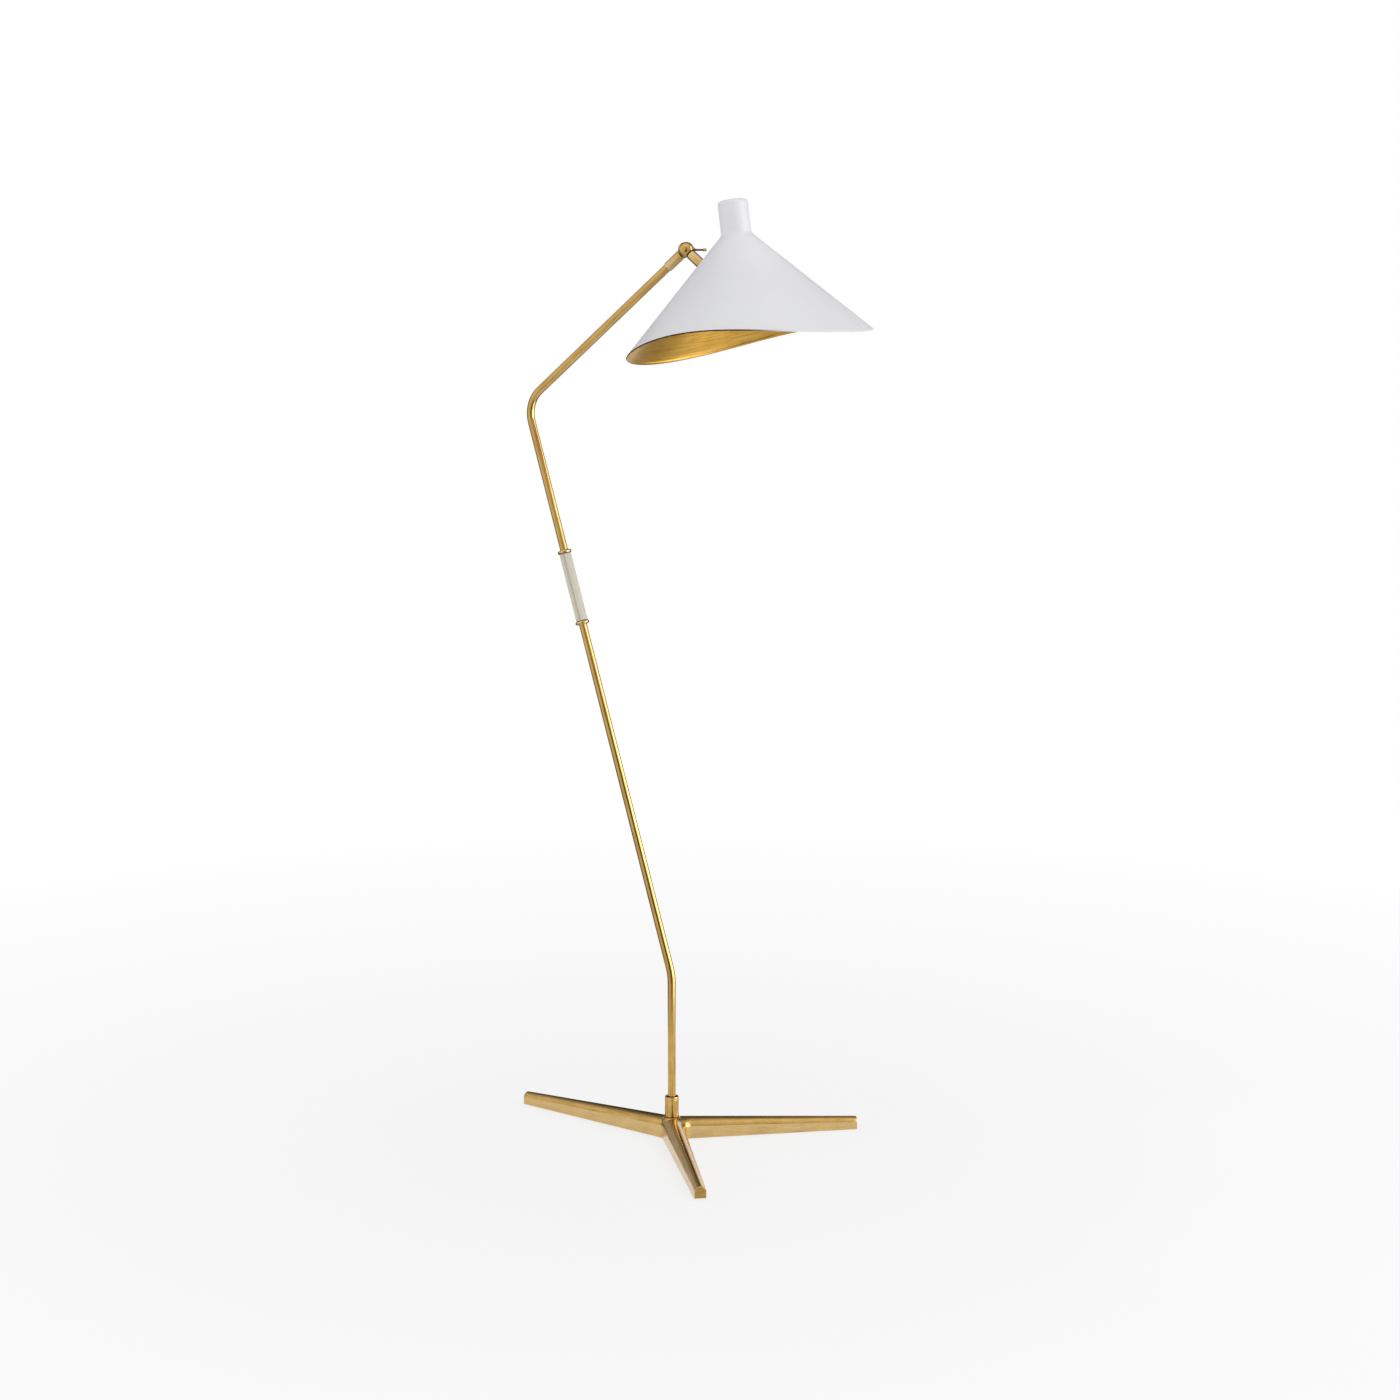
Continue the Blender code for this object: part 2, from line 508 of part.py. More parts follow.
IN = REACH + STRIP_OFF + STRIP / 2 + 0.3
ring("stud_washer", STUD_R + 0.35, 6.5, IN, IN + 1.0, "steel", head, steps=24)
stud_nut = cylinder("stud_nut", 6.3, IN + 1.3, IN + 5.9, "steel", head, sides=6)
boolean(stud_nut, cylinder("stud_nut_bore", STUD_R + GAP, IN - 5, IN + 12, None, head))

ring("holder_nipple", 1.6, 3.0, 11.0, NECK_TOP - 2.3, "steel", shade, steps=20)
top_nut = cylinder("holder_nut", 5.8, BAR_Z + STRIP / 2 + 0.3, BAR_Z + STRIP / 2 + 3.6, "steel", shade, sides=6)
boolean(top_nut, cylinder("holder_nut_bore", 3.3, 0, 40, None, shade))

# lampholder, screw shell and centre contact
holder = turned("lampholder_body", [(12.6, HOLDER_TOP), (15.0, HOLDER_TOP - 0.9), (HOLDER_R, HOLDER_TOP - 3.2), (HOLDER_R, HOLDER_MOUTH + 0.6),
                                    (HOLDER_R - 0.6, HOLDER_MOUTH), (13.95, HOLDER_MOUTH), (13.95, 8.0), (3.4, 8.0), (3.4, HOLDER_TOP)],
                "phenolic", shade, steps=24)
SIDE = atan2(10.8, -15.4)                        # the lead comes up the neck on this side
side_hole = empty("lead_hole_axis", (0, 0, 14.4), 0.0, shade)
side_hole.rotation_euler = (0.0, pi / 2, SIDE)
boolean(holder, cylinder("holder_lead_hole", 1.7, 10.5, 20.0, None, side_hole, sides=16))
ring("screw_shell", 13.2, 13.6, -27.0, 6.5, "aluminium", shade, steps=24)
cylinder("centre_contact", 5.5, 4.0, 5.0, "brass", shade)

# lead from the stud's end, up the neck and into the side of the holder
start_in = inner(ATTACH_SLANT, 9.0)
mouth_in = inner(ATTACH_SLANT, 15.5)
side_v = Vector((cos(SIDE), sin(SIDE), 0))


def smooth_path(points, per=4):
    """Catmull-Rom points through the given ones."""
    pts = [points[0]] + points + [points[-1]]
    out = []
    for i in range(1, len(pts) - 2):
        p0, p1, p2, p3 = pts[i - 1:i + 3]
        for k in range(per):
            t = k / per
            out.append(0.5 * ((2 * p1) + (p2 - p0) * t + (2 * p0 - 5 * p1 + 4 * p2 - p3) * t * t + (3 * p1 - p0 - 3 * p2 + p3) * t ** 3))
    return out + [points[-1]]


knots = [Vector((mouth_in.x, 0, mouth_in.y)), Vector((-45.0, 2.6, -70.5)), Vector((-34.5, 7.5, -57.0)), Vector((-24.0, 10.6, -40.0)),
         side_v * 19.2 + Vector((0, 0, -24.0)), side_v * 18.7 + Vector((0, 0, -8.0)), side_v * 18.7 + Vector((0, 0, 6.0)),
         side_v * 18.3 + Vector((0, 0, 12.2)), side_v * 16.4 + Vector((0, 0, 14.3)), side_v * 12.0 + Vector((0, 0, 14.4))]
wire("shade_lead", [Vector((start_in.x, 0, start_in.y))] + smooth_path(knots, 3), 1.15, "pvc", shade)

# bulb: screw cap, insulator, tip contact and glass
turned("bulb_cap", [(7.0, -1.6), (9.5, -2.0), (12.4, -4.6), (12.8, -6.0), (12.8, -25.0), (12.3, -25.0), (12.3, -6.4), (9.3, -3.0), (7.0, -2.6)],
       "aluminium", shade, steps=20)
turned("bulb_insulator", [(0.0, 1.2), (4.2, 1.2), (6.6, -1.0), (6.6, -3.4), (0.0, -3.4)], "phenolic", shade, closed=False, steps=16)
turned("bulb_tip", [(0.0, 3.5), (1.6, 3.3), (2.6, 1.6), (0.0, 1.6)], "steel", shade, closed=False, steps=16)


def bulb_profile(off):
    """Outer side of an A-shaped bulb, from its neck to its end, moved in by `off`."""
    neck_r, neck_z = 11.8, -31.0
    r = BULB_R
    d = hypot(neck_r, neck_z - BULB_CENTRE)
    tangent = atan2(neck_z - BULB_CENTRE, neck_r)
    a0 = tangent - (pi / 2 - atan2(r, sqrt(d * d - r * r)))   # angle of the point where the cone touches the ball
    points = [(neck_r - off, -8.0), (neck_r - off, neck_z + 1.5)]
    for i in range(9):
        a = a0 + (-pi / 2 - a0) * i / 8
        points.append(((r - off) * cos(a) if i < 8 else 0.0, BULB_CENTRE + (r - off) * sin(a)))
    return points


turned("bulb_glass", bulb_profile(1.0)[::-1] + bulb_profile(0.0), "opal_glass", shade, closed=False, steps=20)
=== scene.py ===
"""Looks of the tripod floor lamp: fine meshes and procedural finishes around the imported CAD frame."""
import json
import bpy
import bmesh
import numpy as np
from math import sin, cos, tan, pi, radians, sqrt, atan2, hypot, ceil
from mathutils import Vector, Matrix

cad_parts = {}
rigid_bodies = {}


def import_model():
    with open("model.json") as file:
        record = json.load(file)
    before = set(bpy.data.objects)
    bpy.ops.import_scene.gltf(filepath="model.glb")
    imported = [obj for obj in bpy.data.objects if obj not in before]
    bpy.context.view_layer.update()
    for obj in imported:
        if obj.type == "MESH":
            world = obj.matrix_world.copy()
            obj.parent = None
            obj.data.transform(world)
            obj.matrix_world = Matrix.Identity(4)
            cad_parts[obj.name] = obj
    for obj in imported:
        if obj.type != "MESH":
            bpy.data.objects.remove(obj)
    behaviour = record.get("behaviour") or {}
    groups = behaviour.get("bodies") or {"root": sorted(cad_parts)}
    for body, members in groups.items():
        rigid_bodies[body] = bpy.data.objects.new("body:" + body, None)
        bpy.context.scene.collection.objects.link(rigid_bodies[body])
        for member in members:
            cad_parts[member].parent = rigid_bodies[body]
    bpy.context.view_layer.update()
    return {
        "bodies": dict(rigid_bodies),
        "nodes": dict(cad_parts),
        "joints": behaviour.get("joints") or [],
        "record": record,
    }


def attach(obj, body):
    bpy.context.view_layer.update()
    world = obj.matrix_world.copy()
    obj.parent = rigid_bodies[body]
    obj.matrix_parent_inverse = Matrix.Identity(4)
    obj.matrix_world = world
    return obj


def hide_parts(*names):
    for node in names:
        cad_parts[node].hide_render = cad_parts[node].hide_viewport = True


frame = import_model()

NODES = frame["nodes"]

MM = 0.001
GAP = 0.3

# ---- the design's dimensions, in millimetres from the stem axis -------------
LEG_REACH = 298.5
LEG_AZIMUTHS = {"rear": 180.0, "front_left": 45.0, "front_right": -45.0}
LEG_FLOOR = 1.0
LEG_HALF_HUB, LEG_HALF_TIP = 16.8, 9.3
LEG_TOP_HUB, LEG_TOP_TIP = 33.7, 20.1
ARCH_SHARE, HUB_FILLET = 0.36, 14.0
BOSS_R, HUB_TOP = 12.4, 34.0
PAD_AT, PAD_R, PAD_TOP = 284.0, 6.0, 2.9
RECESS_R, RECESS_TOP = 12.5, 19.0
TUBE_R, TUBE_WALL = 6.35, 1.0
BORE_R = TUBE_R + GAP
SOCKET_R, SOCKET_BOTTOM, SOCKET_TOP, POLE_START = 11.1, 34.3, 67.5, 40.3
BEND_LO_Z, BEND_LO_R, LEAN = 264.1, 90.0, radians(17.76)
BEND_UP_S, BEND_UP_R = 932.6, 46.0
COLLAR_LO_S, COLLAR_UP_S, COLLAR_R, COLLAR_H = 573.2, 688.4, 11.4, 5.0
GRIP_R, GRIP_CORE_R = 9.6, 8.5
BALL, BALL_R = Vector((29.3, 0.0, 1390.2)), 12.0
SLEEVE_R, SLEEVE_LENGTH = 7.75, 42.4
SLOT_HALF, SLOT_BACK = 4.0, 8.5
PIN_R, STUD_R, CONNECTOR_R = 2.5, 3.0, 7.75
LEVER_Y, LEVER_REACH = 15.4, 27.0
APEX, SHADE_TILT, HALF_ANGLE = Vector((119.0, 0.0, 1435.1)), radians(8.37), radians(45.15)
RIM_SLANT, RIM_WAVE = 253.5, 17.9
NECK_R, NECK_TOP, SHADE_WALL = 22.6, 29.5, 1.0
HOLDER_R, HOLDER_TOP, HOLDER_MOUTH = 16.0, 20.6, -30.0
BULB_R, BULB_CENTRE = 30.0, -80.0
OUT_AZ, OUT_Z = radians(112.5), 7.0
TIP_X = APEX.x + (RIM_SLANT + RIM_WAVE) * (cos(HALF_ANGLE) * sin(SHADE_TILT) + sin(HALF_ANGLE) * cos(SHADE_TILT))
SHIFT_X = (TIP_X - LEG_REACH) / 2.0


# ------------------------------------------------------------------ frames --
def shift(x, y=0.0, z=0.0):
    v = x if isinstance(x, Vector) else Vector((x, y, z))
    return Matrix.Translation(v * MM)


def turn(angle, axis):
    return Matrix.Rotation(angle, 4, axis)


lean_dir = Vector((-sin(LEAN), 0, cos(LEAN)))
bend_lo = Vector((0, 0, BEND_LO_Z))
bend_up = bend_lo + lean_dir * BEND_UP_S
arm_dir = (BALL - bend_up).normalized()
side_dir = Vector((cos(HALF_ANGLE) * sin(SHADE_TILT) - sin(HALF_ANGLE) * cos(SHADE_TILT), 0,
                   -cos(HALF_ANGLE) * cos(SHADE_TILT) - sin(HALF_ANGLE) * sin(SHADE_TILT)))
side_in = Vector((-side_dir.z, 0, side_dir.x))
ATTACH_SLANT = (BALL - APEX).dot(side_dir)
REACH = (APEX - BALL).dot(side_in)

STEM = shift(-SHIFT_X)
LEANING = STEM @ shift(bend_lo) @ turn(-LEAN, "Y")
TILT = STEM @ shift(BALL)
ARM = TILT @ turn(atan2(arm_dir.x, arm_dir.z), "Y")
HEAD = TILT @ turn(atan2(side_in.x, side_in.z), "Y")
LEVER = STEM @ shift(BALL + Vector((0, LEVER_Y, 0)))
SHADE = STEM @ shift(APEX) @ turn(-SHADE_TILT, "Y")
OUTLET = STEM @ shift(0, 0, OUT_Z) @ turn(OUT_AZ, "Z") @ turn(pi / 2, "Y")
PIN = turn(-pi / 2, "X")


# ------------------------------------------------------------------ meshes --
class Shape:
    """Points in millimetres, faces, one UV pair (metres) per face corner, material index per face, wear per point."""

    def __init__(self):
        self.co, self.faces, self.uv, self.mat, self.wear_and_shade = [], [], [], [], []

    def point(self, p, wear_and_shade=0.0):
        self.co.append(tuple(p))
        self.wear_and_shade.append(wear_and_shade)
        return len(self.co) - 1

    def face(self, ids, uvs, mat=0):
        self.faces.append(tuple(ids))
        self.uv.append(tuple(uvs))
        self.mat.append(mat)

    def volume(self):
        total = 0.0
        for f in self.faces:
            a = Vector(self.co[f[0]])
            for i in range(1, len(f) - 1):
                total += a.dot(Vector(self.co[f[i]]).cross(Vector(self.co[f[i + 1]])))
        return total / 6.0

    def outward(self):
        if self.volume() < 0:
            self.faces = [f[::-1] for f in self.faces]
            self.uv = [u[::-1] for u in self.uv]
        return self


def to_object(name, shape, materials, matrix=Matrix.Identity(4), sharp=32.0):
    mesh = bpy.data.meshes.new(name)
    mesh.from_pydata([(x * MM, y * MM, z * MM) for x, y, z in shape.co], [], shape.faces)
    layer = mesh.uv_layers.new(name="UVMap")
    layer.data.foreach_set("uv", [c for face in shape.uv for pair in face for c in pair])
    wear_and_shade = mesh.attributes.new("wear_and_shade", "FLOAT", "POINT")
    wear_and_shade.data.foreach_set("value", np.array(shape.wear_and_shade, np.float32))
    for m in materials:
        mesh.materials.append(m)
    mesh.polygons.foreach_set("material_index", shape.mat)
    mesh.transform(matrix)
    mesh.validate()
    mesh.shade_smooth()
    mesh.set_sharp_from_angle(angle=radians(sharp))
    ob = bpy.data.objects.new(name, mesh)
    bpy.context.scene.collection.objects.link(ob)
    return ob


def soften(points, radius=0.35, steps=4, closed=True, keep=()):
    """Rounds the corners of a (radius, height) profile. Returns points and a wear value for each."""
    n, out = len(points), []
    for i, p in enumerate(points):
        p = Vector(p)
        if (not closed and i in (0, n - 1)) or i in keep:
            out.append((p.x, p.y, 0.0))
            continue
        a, b = Vector(points[i - 1]), Vector(points[(i + 1) % n])
        u, v = a - p, b - p
        lu, lv = u.length, v.length
        u, v = u / lu, v / lv
        ang = u.angle(v)
        if pi - ang < radians(9):
            out.append((p.x, p.y, 0.0))
            continue
        run = min(radius / tan(ang / 2), 0.42 * lu, 0.42 * lv)
        r = run * tan(ang / 2)
        centre = p + (u + v).normalized() * r / sin(ang / 2)
        s, e = p + u * run - centre, p + v * run - centre
        sweep = atan2(s.x * e.y - s.y * e.x, s.dot(e))
        for k in range(steps + 1):
            t = sweep * k / steps
            q = centre + Vector((s.x * cos(t) - s.y * sin(t), s.x * sin(t) + s.y * cos(t)))
            out.append((q.x, q.y, sin(pi * k / steps) if abs(sweep) > 0.5 else 0.3))
    return out


def lathe(profile, segments=96, closed=True, wave=None, mats=None):
    """Turns a profile of (radius, height, wear) about local Z."""
    sh = Shape()
    rows, length, last = [], [], None
    total = 0.0
    for r, z, w in profile:
        if last is not None:
            total += hypot(r - last[0], z - last[1])
        last = (r, z)
        length.append(total)
        if r < 1e-6:
            rows.append([sh.point((0, 0, z), w)])
        else:
            rows.append([sh.point((r * cos(2 * pi * k / segments), r * sin(2 * pi * k / segments), z), w) for k in range(segments)])
    count = len(rows)
    for i in range(count if closed else count - 1):
        a, b = rows[i], rows[(i + 1) % count]
        va = length[i] * MM
        vb = length[i + 1] * MM if i + 1 < count else va + hypot(profile[0][0] - profile[-1][0], profile[0][1] - profile[-1][1]) * MM
        m = mats[i] if mats else 0
        for k in range(segments):
            k2 = (k + 1) % segments
            u0, u1 = k / segments, (k + 1) / segments
            if len(a) == 1 and len(b) == 1:
                continue
            if len(a) == 1:
                sh.face((a[0], b[k2], b[k]), ((u0, va), (u1, vb), (u0, vb)), m)
            elif len(b) == 1:
                sh.face((a[k], a[k2], b[0]), ((u0, va), (u1, va), (u0, vb)), m)
            else:
                sh.face((a[k], a[k2], b[k2], b[k]), ((u0, va), (u1, va), (u1, vb), (u0, vb)), m)
    return sh.outward()


def by_rule(profile, rule):
    """Material index of each band of a lathe profile, from the middle of the band."""
    return [rule((profile[i][0] + profile[(i + 1) % len(profile)][0]) / 2, (profile[i][1] + profile[(i + 1) % len(profile)][1]) / 2) for i in range(len(profile))]


def sweep(points, radius, inner=0.0, sides=48, dome=False):
    """A rod along points, or a tube when it has an inner radius. Frames are carried along without twist."""
    sh = Shape()
    pts = [Vector(p) for p in points]
    n = len(pts)
    tangents = [(pts[min(i + 1, n - 1)] - pts[max(i - 1, 0)]).normalized() for i in range(n)]
    side = Vector((0, 1, 0)) if abs(tangents[0].y) < 0.9 else Vector((1, 0, 0))
    side = (side - tangents[0] * side.dot(tangents[0])).normalized()
    frames, run = [], 0.0
    for i in range(n):
        if i:
            run += (pts[i] - pts[i - 1]).length
            side = (side - tangents[i] * side.dot(tangents[i])).normalized()
        frames.append((pts[i], tangents[i].cross(side), side, run * MM))

    def ring(frame, r):
        p, a, b, _ = frame
        return [sh.point(p + (a * cos(2 * pi * k / sides) + b * sin(2 * pi * k / sides)) * r) for k in range(sides)]

    def join(a, b, va, vb):
        for k in range(sides):
            k2 = (k + 1) % sides
            u0, u1 = k / sides, (k + 1) / sides
            sh.face((a[k], a[k2], b[k2], b[k]), ((u0, va), (u1, va), (u1, vb), (u0, vb)))

    outer = [ring(f, radius) for f in frames]
    for i in range(n - 1):
        join(outer[i], outer[i + 1], frames[i][3], frames[i + 1][3])
    if inner:
        core = [ring(f, inner) for f in frames]
        for i in range(n - 1):
            join(core[i + 1], core[i], frames[i + 1][3], frames[i][3])
        join(core[0], outer[0], frames[0][3], frames[0][3])
        join(outer[-1], core[-1], frames[-1][3], frames[-1][3])
    else:
        for end, sign in ((0, -1), (n - 1, 1)):
            p, a, b, v = frames[end]
            last = outer[end]
            if dome:
                for step in (0.5, 0.85):
                    nxt = ring((p + tangents[end] * sign * radius * 0.5 * sin(step * pi / 2), a, b, v), radius * cos(step * pi / 2))
                    join(*((last, nxt) if sign > 0 else (nxt, last)), v, v)
                    last = nxt
            tip = sh.point(p + tangents[end] * sign * radius * (0.5 if dome else 0.0))
            for k in range(sides):
                k2 = (k + 1) % sides
                ids = (last[k], last[k2], tip) if sign > 0 else (last[k2], last[k], tip)
                sh.face(ids, ((k / sides, v), ((k + 1) / sides, v), (k / sides, v)))
    return sh.outward()


def arc_bend(a, corner, b, radius, steps):
    u, v = (a - corner).normalized(), (b - corner).normalized()
    half = u.angle(v) / 2
    run = radius / tan(half)
    centre = corner + (u + v).normalized() * radius / sin(half)
    p, q = corner + u * run - centre, corner + v * run - centre
    ang = p.angle(q)
    axis = p.cross(q).normalized()
    return [centre + Matrix.Rotation(ang * i / steps, 3, axis) @ p for i in range(steps + 1)]


def divided(points, step):
    """The same polyline with no piece longer than step."""
    out = [points[0]]
    for a, b in zip(points, points[1:]):
        n = max(1, ceil((b - a).length / step))
        out += [a.lerp(b, k / n) for k in range(1, n + 1)]
    return out


SLIVER = 0.000004


def cut(ob, tools, operation="DIFFERENCE", solver="MANIFOLD", sharp=32.0):
    """Applies booleans with throw-away tools and shades the result."""
    for t in tools:
        mod = ob.modifiers.new("cut", "BOOLEAN")
        mod.operation, mod.solver, mod.object = operation, solver, t
    bpy.context.view_layer.update()
    mesh = bpy.data.meshes.new_from_object(ob.evaluated_get(bpy.context.evaluated_depsgraph_get()))
    old = ob.data
    ob.modifiers.clear()
    ob.data = mesh
    bpy.data.meshes.remove(old)
    mesh.name = ob.name
    for t in tools:
        bpy.data.objects.remove(t, do_unlink=True)
    bm = bmesh.new()
    bm.from_mesh(mesh)
    for _ in range(2):
        bmesh.ops.dissolve_degenerate(bm, edges=bm.edges, dist=SLIVER)
        bmesh.ops.remove_doubles(bm, verts=bm.verts, dist=SLIVER)
    loose = sum(1 for e in bm.edges if len(e.link_faces) != 2)
    bm.to_mesh(mesh)
    bm.free()
    if loose:
        print("open or crowded edges in", ob.name, loose)
    mesh.shade_smooth()
    mesh.set_sharp_from_angle(angle=radians(sharp))
    return ob


def rod_tool(radius, low, high, matrix, segments=64):
    return to_object("tool", lathe([(0, high, 0), (radius, high, 0), (radius, low, 0), (0, low, 0)], segments, closed=False), [], matrix)


def block_tool(low, high, matrix):
    sh = Shape()
    ids = [sh.point((x, y, z)) for z in (low[2], high[2]) for y in (low[1], high[1]) for x in (low[0], high[0])]
    for f in ((0, 1, 3, 2), (4, 5, 7, 6), (0, 1, 5, 4), (2, 3, 7, 6), (0, 2, 6, 4), (1, 3, 7, 5)):
        sh.face([ids[i] for i in f], ((0, 0), (1, 0), (1, 1), (0, 1)))
    ob = to_object("tool", sh, [], matrix)
    bm = bmesh.new()
    bm.from_mesh(ob.data)
    bmesh.ops.recalc_face_normals(bm, faces=bm.faces)
    bm.to_mesh(ob.data)
    bm.free()
    return ob


def piece(ob, body, slot, *stands_for):
    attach(ob, body)
    if stands_for:
        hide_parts(*stands_for)
    return ob


# --------------------------------------------------------------- materials --
class Finish:
    """A Principled material with small helpers for its nodes."""

    def __init__(self, name, colour, metallic=0.0, roughness=0.4, **sockets):
        self.mat = bpy.data.materials.new(name)
        self.mat.use_nodes = True
        self.tree = self.mat.node_tree
        self.shader = self.tree.nodes["Principled BSDF"]
        self.shader.inputs["Base Color"].default_value = (*colour, 1.0)
        self.shader.inputs["Metallic"].default_value = metallic
        self.shader.inputs["Roughness"].default_value = roughness
        for key, value in sockets.items():
            self.shader.inputs[key.replace("_", " ")].default_value = value

    def add(self, kind, **props):
        node = self.tree.nodes.new(kind)
        for k, v in props.items():
            setattr(node, k, v)
        return node

    def link(self, a, b):
        self.tree.links.new(a, b)

    def math(self, op, a, b=None):
        node = self.add("ShaderNodeMath", operation=op)
        for i, v in enumerate((a, b)):
            if v is None:
                continue
            if isinstance(v, (int, float)):
                node.inputs[i].default_value = v
            else:
                self.link(v, node.inputs[i])
        return node.outputs[0]

    def round_coords(self, radius, stretch):
        """Coordinates without a seam for a turned piece or a tube: UV (turn, metres along) wrapped on a cylinder."""
        uv = self.add("ShaderNodeUVMap", uv_map="UVMap")
        split = self.add("ShaderNodeSeparateXYZ")
        self.link(uv.outputs[0], split.inputs[0])
        angle = self.math("MULTIPLY", split.outputs[0], 2 * pi)
        join = self.add("ShaderNodeCombineXYZ")
        self.link(self.math("MULTIPLY", self.math("COSINE", angle), radius), join.inputs[0])
        self.link(self.math("MULTIPLY", self.math("SINE", angle), radius), join.inputs[1])
        self.link(self.math("MULTIPLY", split.outputs[1], stretch), join.inputs[2])
        return join.outputs[0]

    def object_coords(self, scale=(1, 1, 1)):
        tc = self.add("ShaderNodeTexCoord")
        mp = self.add("ShaderNodeMapping")
        mp.inputs["Scale"].default_value = scale
        self.link(tc.outputs["Object"], mp.inputs["Vector"])
        return mp.outputs[0]

    def uv_coords(self, scale=(1, 1, 1)):
        uv = self.add("ShaderNodeUVMap", uv_map="UVMap")
        mp = self.add("ShaderNodeMapping")
        mp.inputs["Scale"].default_value = scale
        self.link(uv.outputs[0], mp.inputs["Vector"])
        return mp.outputs[0]

    def noise(self, coords, scale, detail=3.0, rough=0.55):
        node = self.add("ShaderNodeTexNoise")
        node.inputs["Scale"].default_value = scale
        node.inputs["Detail"].default_value = detail
        node.inputs["Roughness"].default_value = rough
        self.link(coords, node.inputs["Vector"])
        return node.outputs["Fac"]

    def spread(self, value, low, high, to_low=0.0, to_high=1.0):
        node = self.add("ShaderNodeMapRange")
        node.clamp = True
        for i, v in enumerate((low, high, to_low, to_high)):
            node.inputs[i + 1].default_value = v
        self.link(value, node.inputs[0])
        return node.outputs[0]

    def ramp(self, value, stops):
        node = self.add("ShaderNodeValToRGB")
        cr = node.color_ramp
        while len(cr.elements) < len(stops):
            cr.elements.new(0.5)
        for e, (at, colour) in zip(cr.elements, stops):
            e.position = at
            e.color = (*colour, 1.0)
        self.link(value, node.inputs[0])
        return node.outputs[0]

    def mix(self, factor, a, b, mode="MIX"):
        node = self.add("ShaderNodeMix", data_type="RGBA", blend_type=mode)
        for i, v in ((0, factor), (6, a), (7, b)):
            if isinstance(v, (int, float)):
                node.inputs[i].default_value = v
            elif isinstance(v, tuple):
                node.inputs[i].default_value = (*v, 1.0)
            else:
                self.link(v, node.inputs[i])
        return node.outputs[2]

    def wear_and_shade(self):
        node = self.add("ShaderNodeAttribute", attribute_name="wear_and_shade")
        return node.outputs["Fac"]

    def bump(self, height, distance, strength=1.0):
        node = self.add("ShaderNodeBump")
        node.inputs["Strength"].default_value = strength
        node.inputs["Distance"].default_value = distance
        self.link(height, node.inputs["Height"])
        old = self.shader.inputs["Normal"]
        if old.is_linked:
            self.link(old.links[0].from_socket, node.inputs["Normal"])
        self.link(node.outputs[0], self.shader.inputs["Normal"])

    def colour(self, socket):
        self.link(socket, self.shader.inputs["Base Color"])

    def roughness(self, socket):
        self.link(socket, self.shader.inputs["Roughness"])


def add_up(f, parts):
    total = None
    for weight, value in parts:
        term = f.math("MULTIPLY", value, weight)
        total = term if total is None else f.math("ADD", total, term)
    return total


BRASS_DARK, BRASS_MID, BRASS_PALE = (0.290, 0.148, 0.028), (0.525, 0.303, 0.062), (0.695, 0.458, 0.145)


def brass(name, radius=None, rough=(0.17, 0.33), along=0.018, tone=0.0):
    """Hand-rubbed antique brass, brushed along the piece: fine scratches, longer streaks and a soft patina."""
    f = Finish(name, BRASS_MID, 1.0, 0.24, Coat_Weight=0.5, Coat_Roughness=0.12, Coat_IOR=1.65)
    if radius:
        fine, streak, patina = (f.round_coords(radius, s) for s in (along, along * 1.6, 0.55))
    else:
        fine, streak, patina = f.uv_coords((1, along, 1)), f.uv_coords((1, along * 1.6, 1)), f.uv_coords((1, 0.45, 1))
    a = f.noise(fine, 2600.0, 2.0)
    b = f.noise(streak, 620.0, 3.0)
    c = f.noise(patina, 70.0, 4.0, 0.6)
    blend = add_up(f, ((0.28, a), (0.42, b), (0.30, c)))
    colour = f.ramp(f.spread(blend, 0.34, 0.66), ((0.0, tuple(x * 0.86 for x in BRASS_DARK)), (0.32 - tone, BRASS_MID), (1.0, BRASS_PALE)))
    colour = f.mix(f.math("MULTIPLY", f.wear_and_shade(), 0.55), colour, (0.86, 0.68, 0.40))
    f.colour(colour)
    f.roughness(f.spread(blend, 0.3, 0.7, rough[1], rough[0]))
    f.bump(a, 0.00002, 0.35)
    f.bump(b, 0.00005, 0.25)
    return f.mat


def metal(name, colour, rough, scale=900.0, depth=0.00002, contrast=0.25):
    """Plain turned or plated metal with faint machining marks and a little tarnish."""
    f = Finish(name, colour, 1.0, rough)
    at = f.object_coords()
    fine, broad = f.noise(at, scale, 3.0), f.noise(at, scale * 0.12, 4.0)
    blend = add_up(f, ((0.5, fine), (0.5, broad)))
    dark = tuple(x * (1 - contrast) for x in colour)
    pale = tuple(min(1.0, x * (1 + contrast * 0.6)) for x in colour)
    f.colour(f.mix(f.spread(blend, 0.35, 0.65), dark, pale))
    f.roughness(f.spread(blend, 0.3, 0.7, rough * 1.25, rough * 0.8))
    f.bump(fine, depth, 0.5)
    return f.mat


def moulded(name, colour, rough, scale=1500.0, depth=0.00003, contrast=0.18, **sockets):
    """Moulded plastic or rubber with a fine texture and slight colour drift."""
    f = Finish(name, colour, 0.0, rough, **sockets)
    at = f.object_coords()
    fine, broad = f.noise(at, scale, 3.0), f.noise(at, scale * 0.07, 3.0)
    dark = tuple(x * (1 - contrast) for x in colour)
    pale = tuple(min(1.0, x * (1 + contrast)) for x in colour)
    f.colour(f.mix(f.spread(broad, 0.3, 0.7), dark, pale))
    f.roughness(f.spread(fine, 0.3, 0.7, rough * 0.85, min(1.0, rough * 1.15)))
    f.bump(fine, depth, 0.6)
    return f.mat


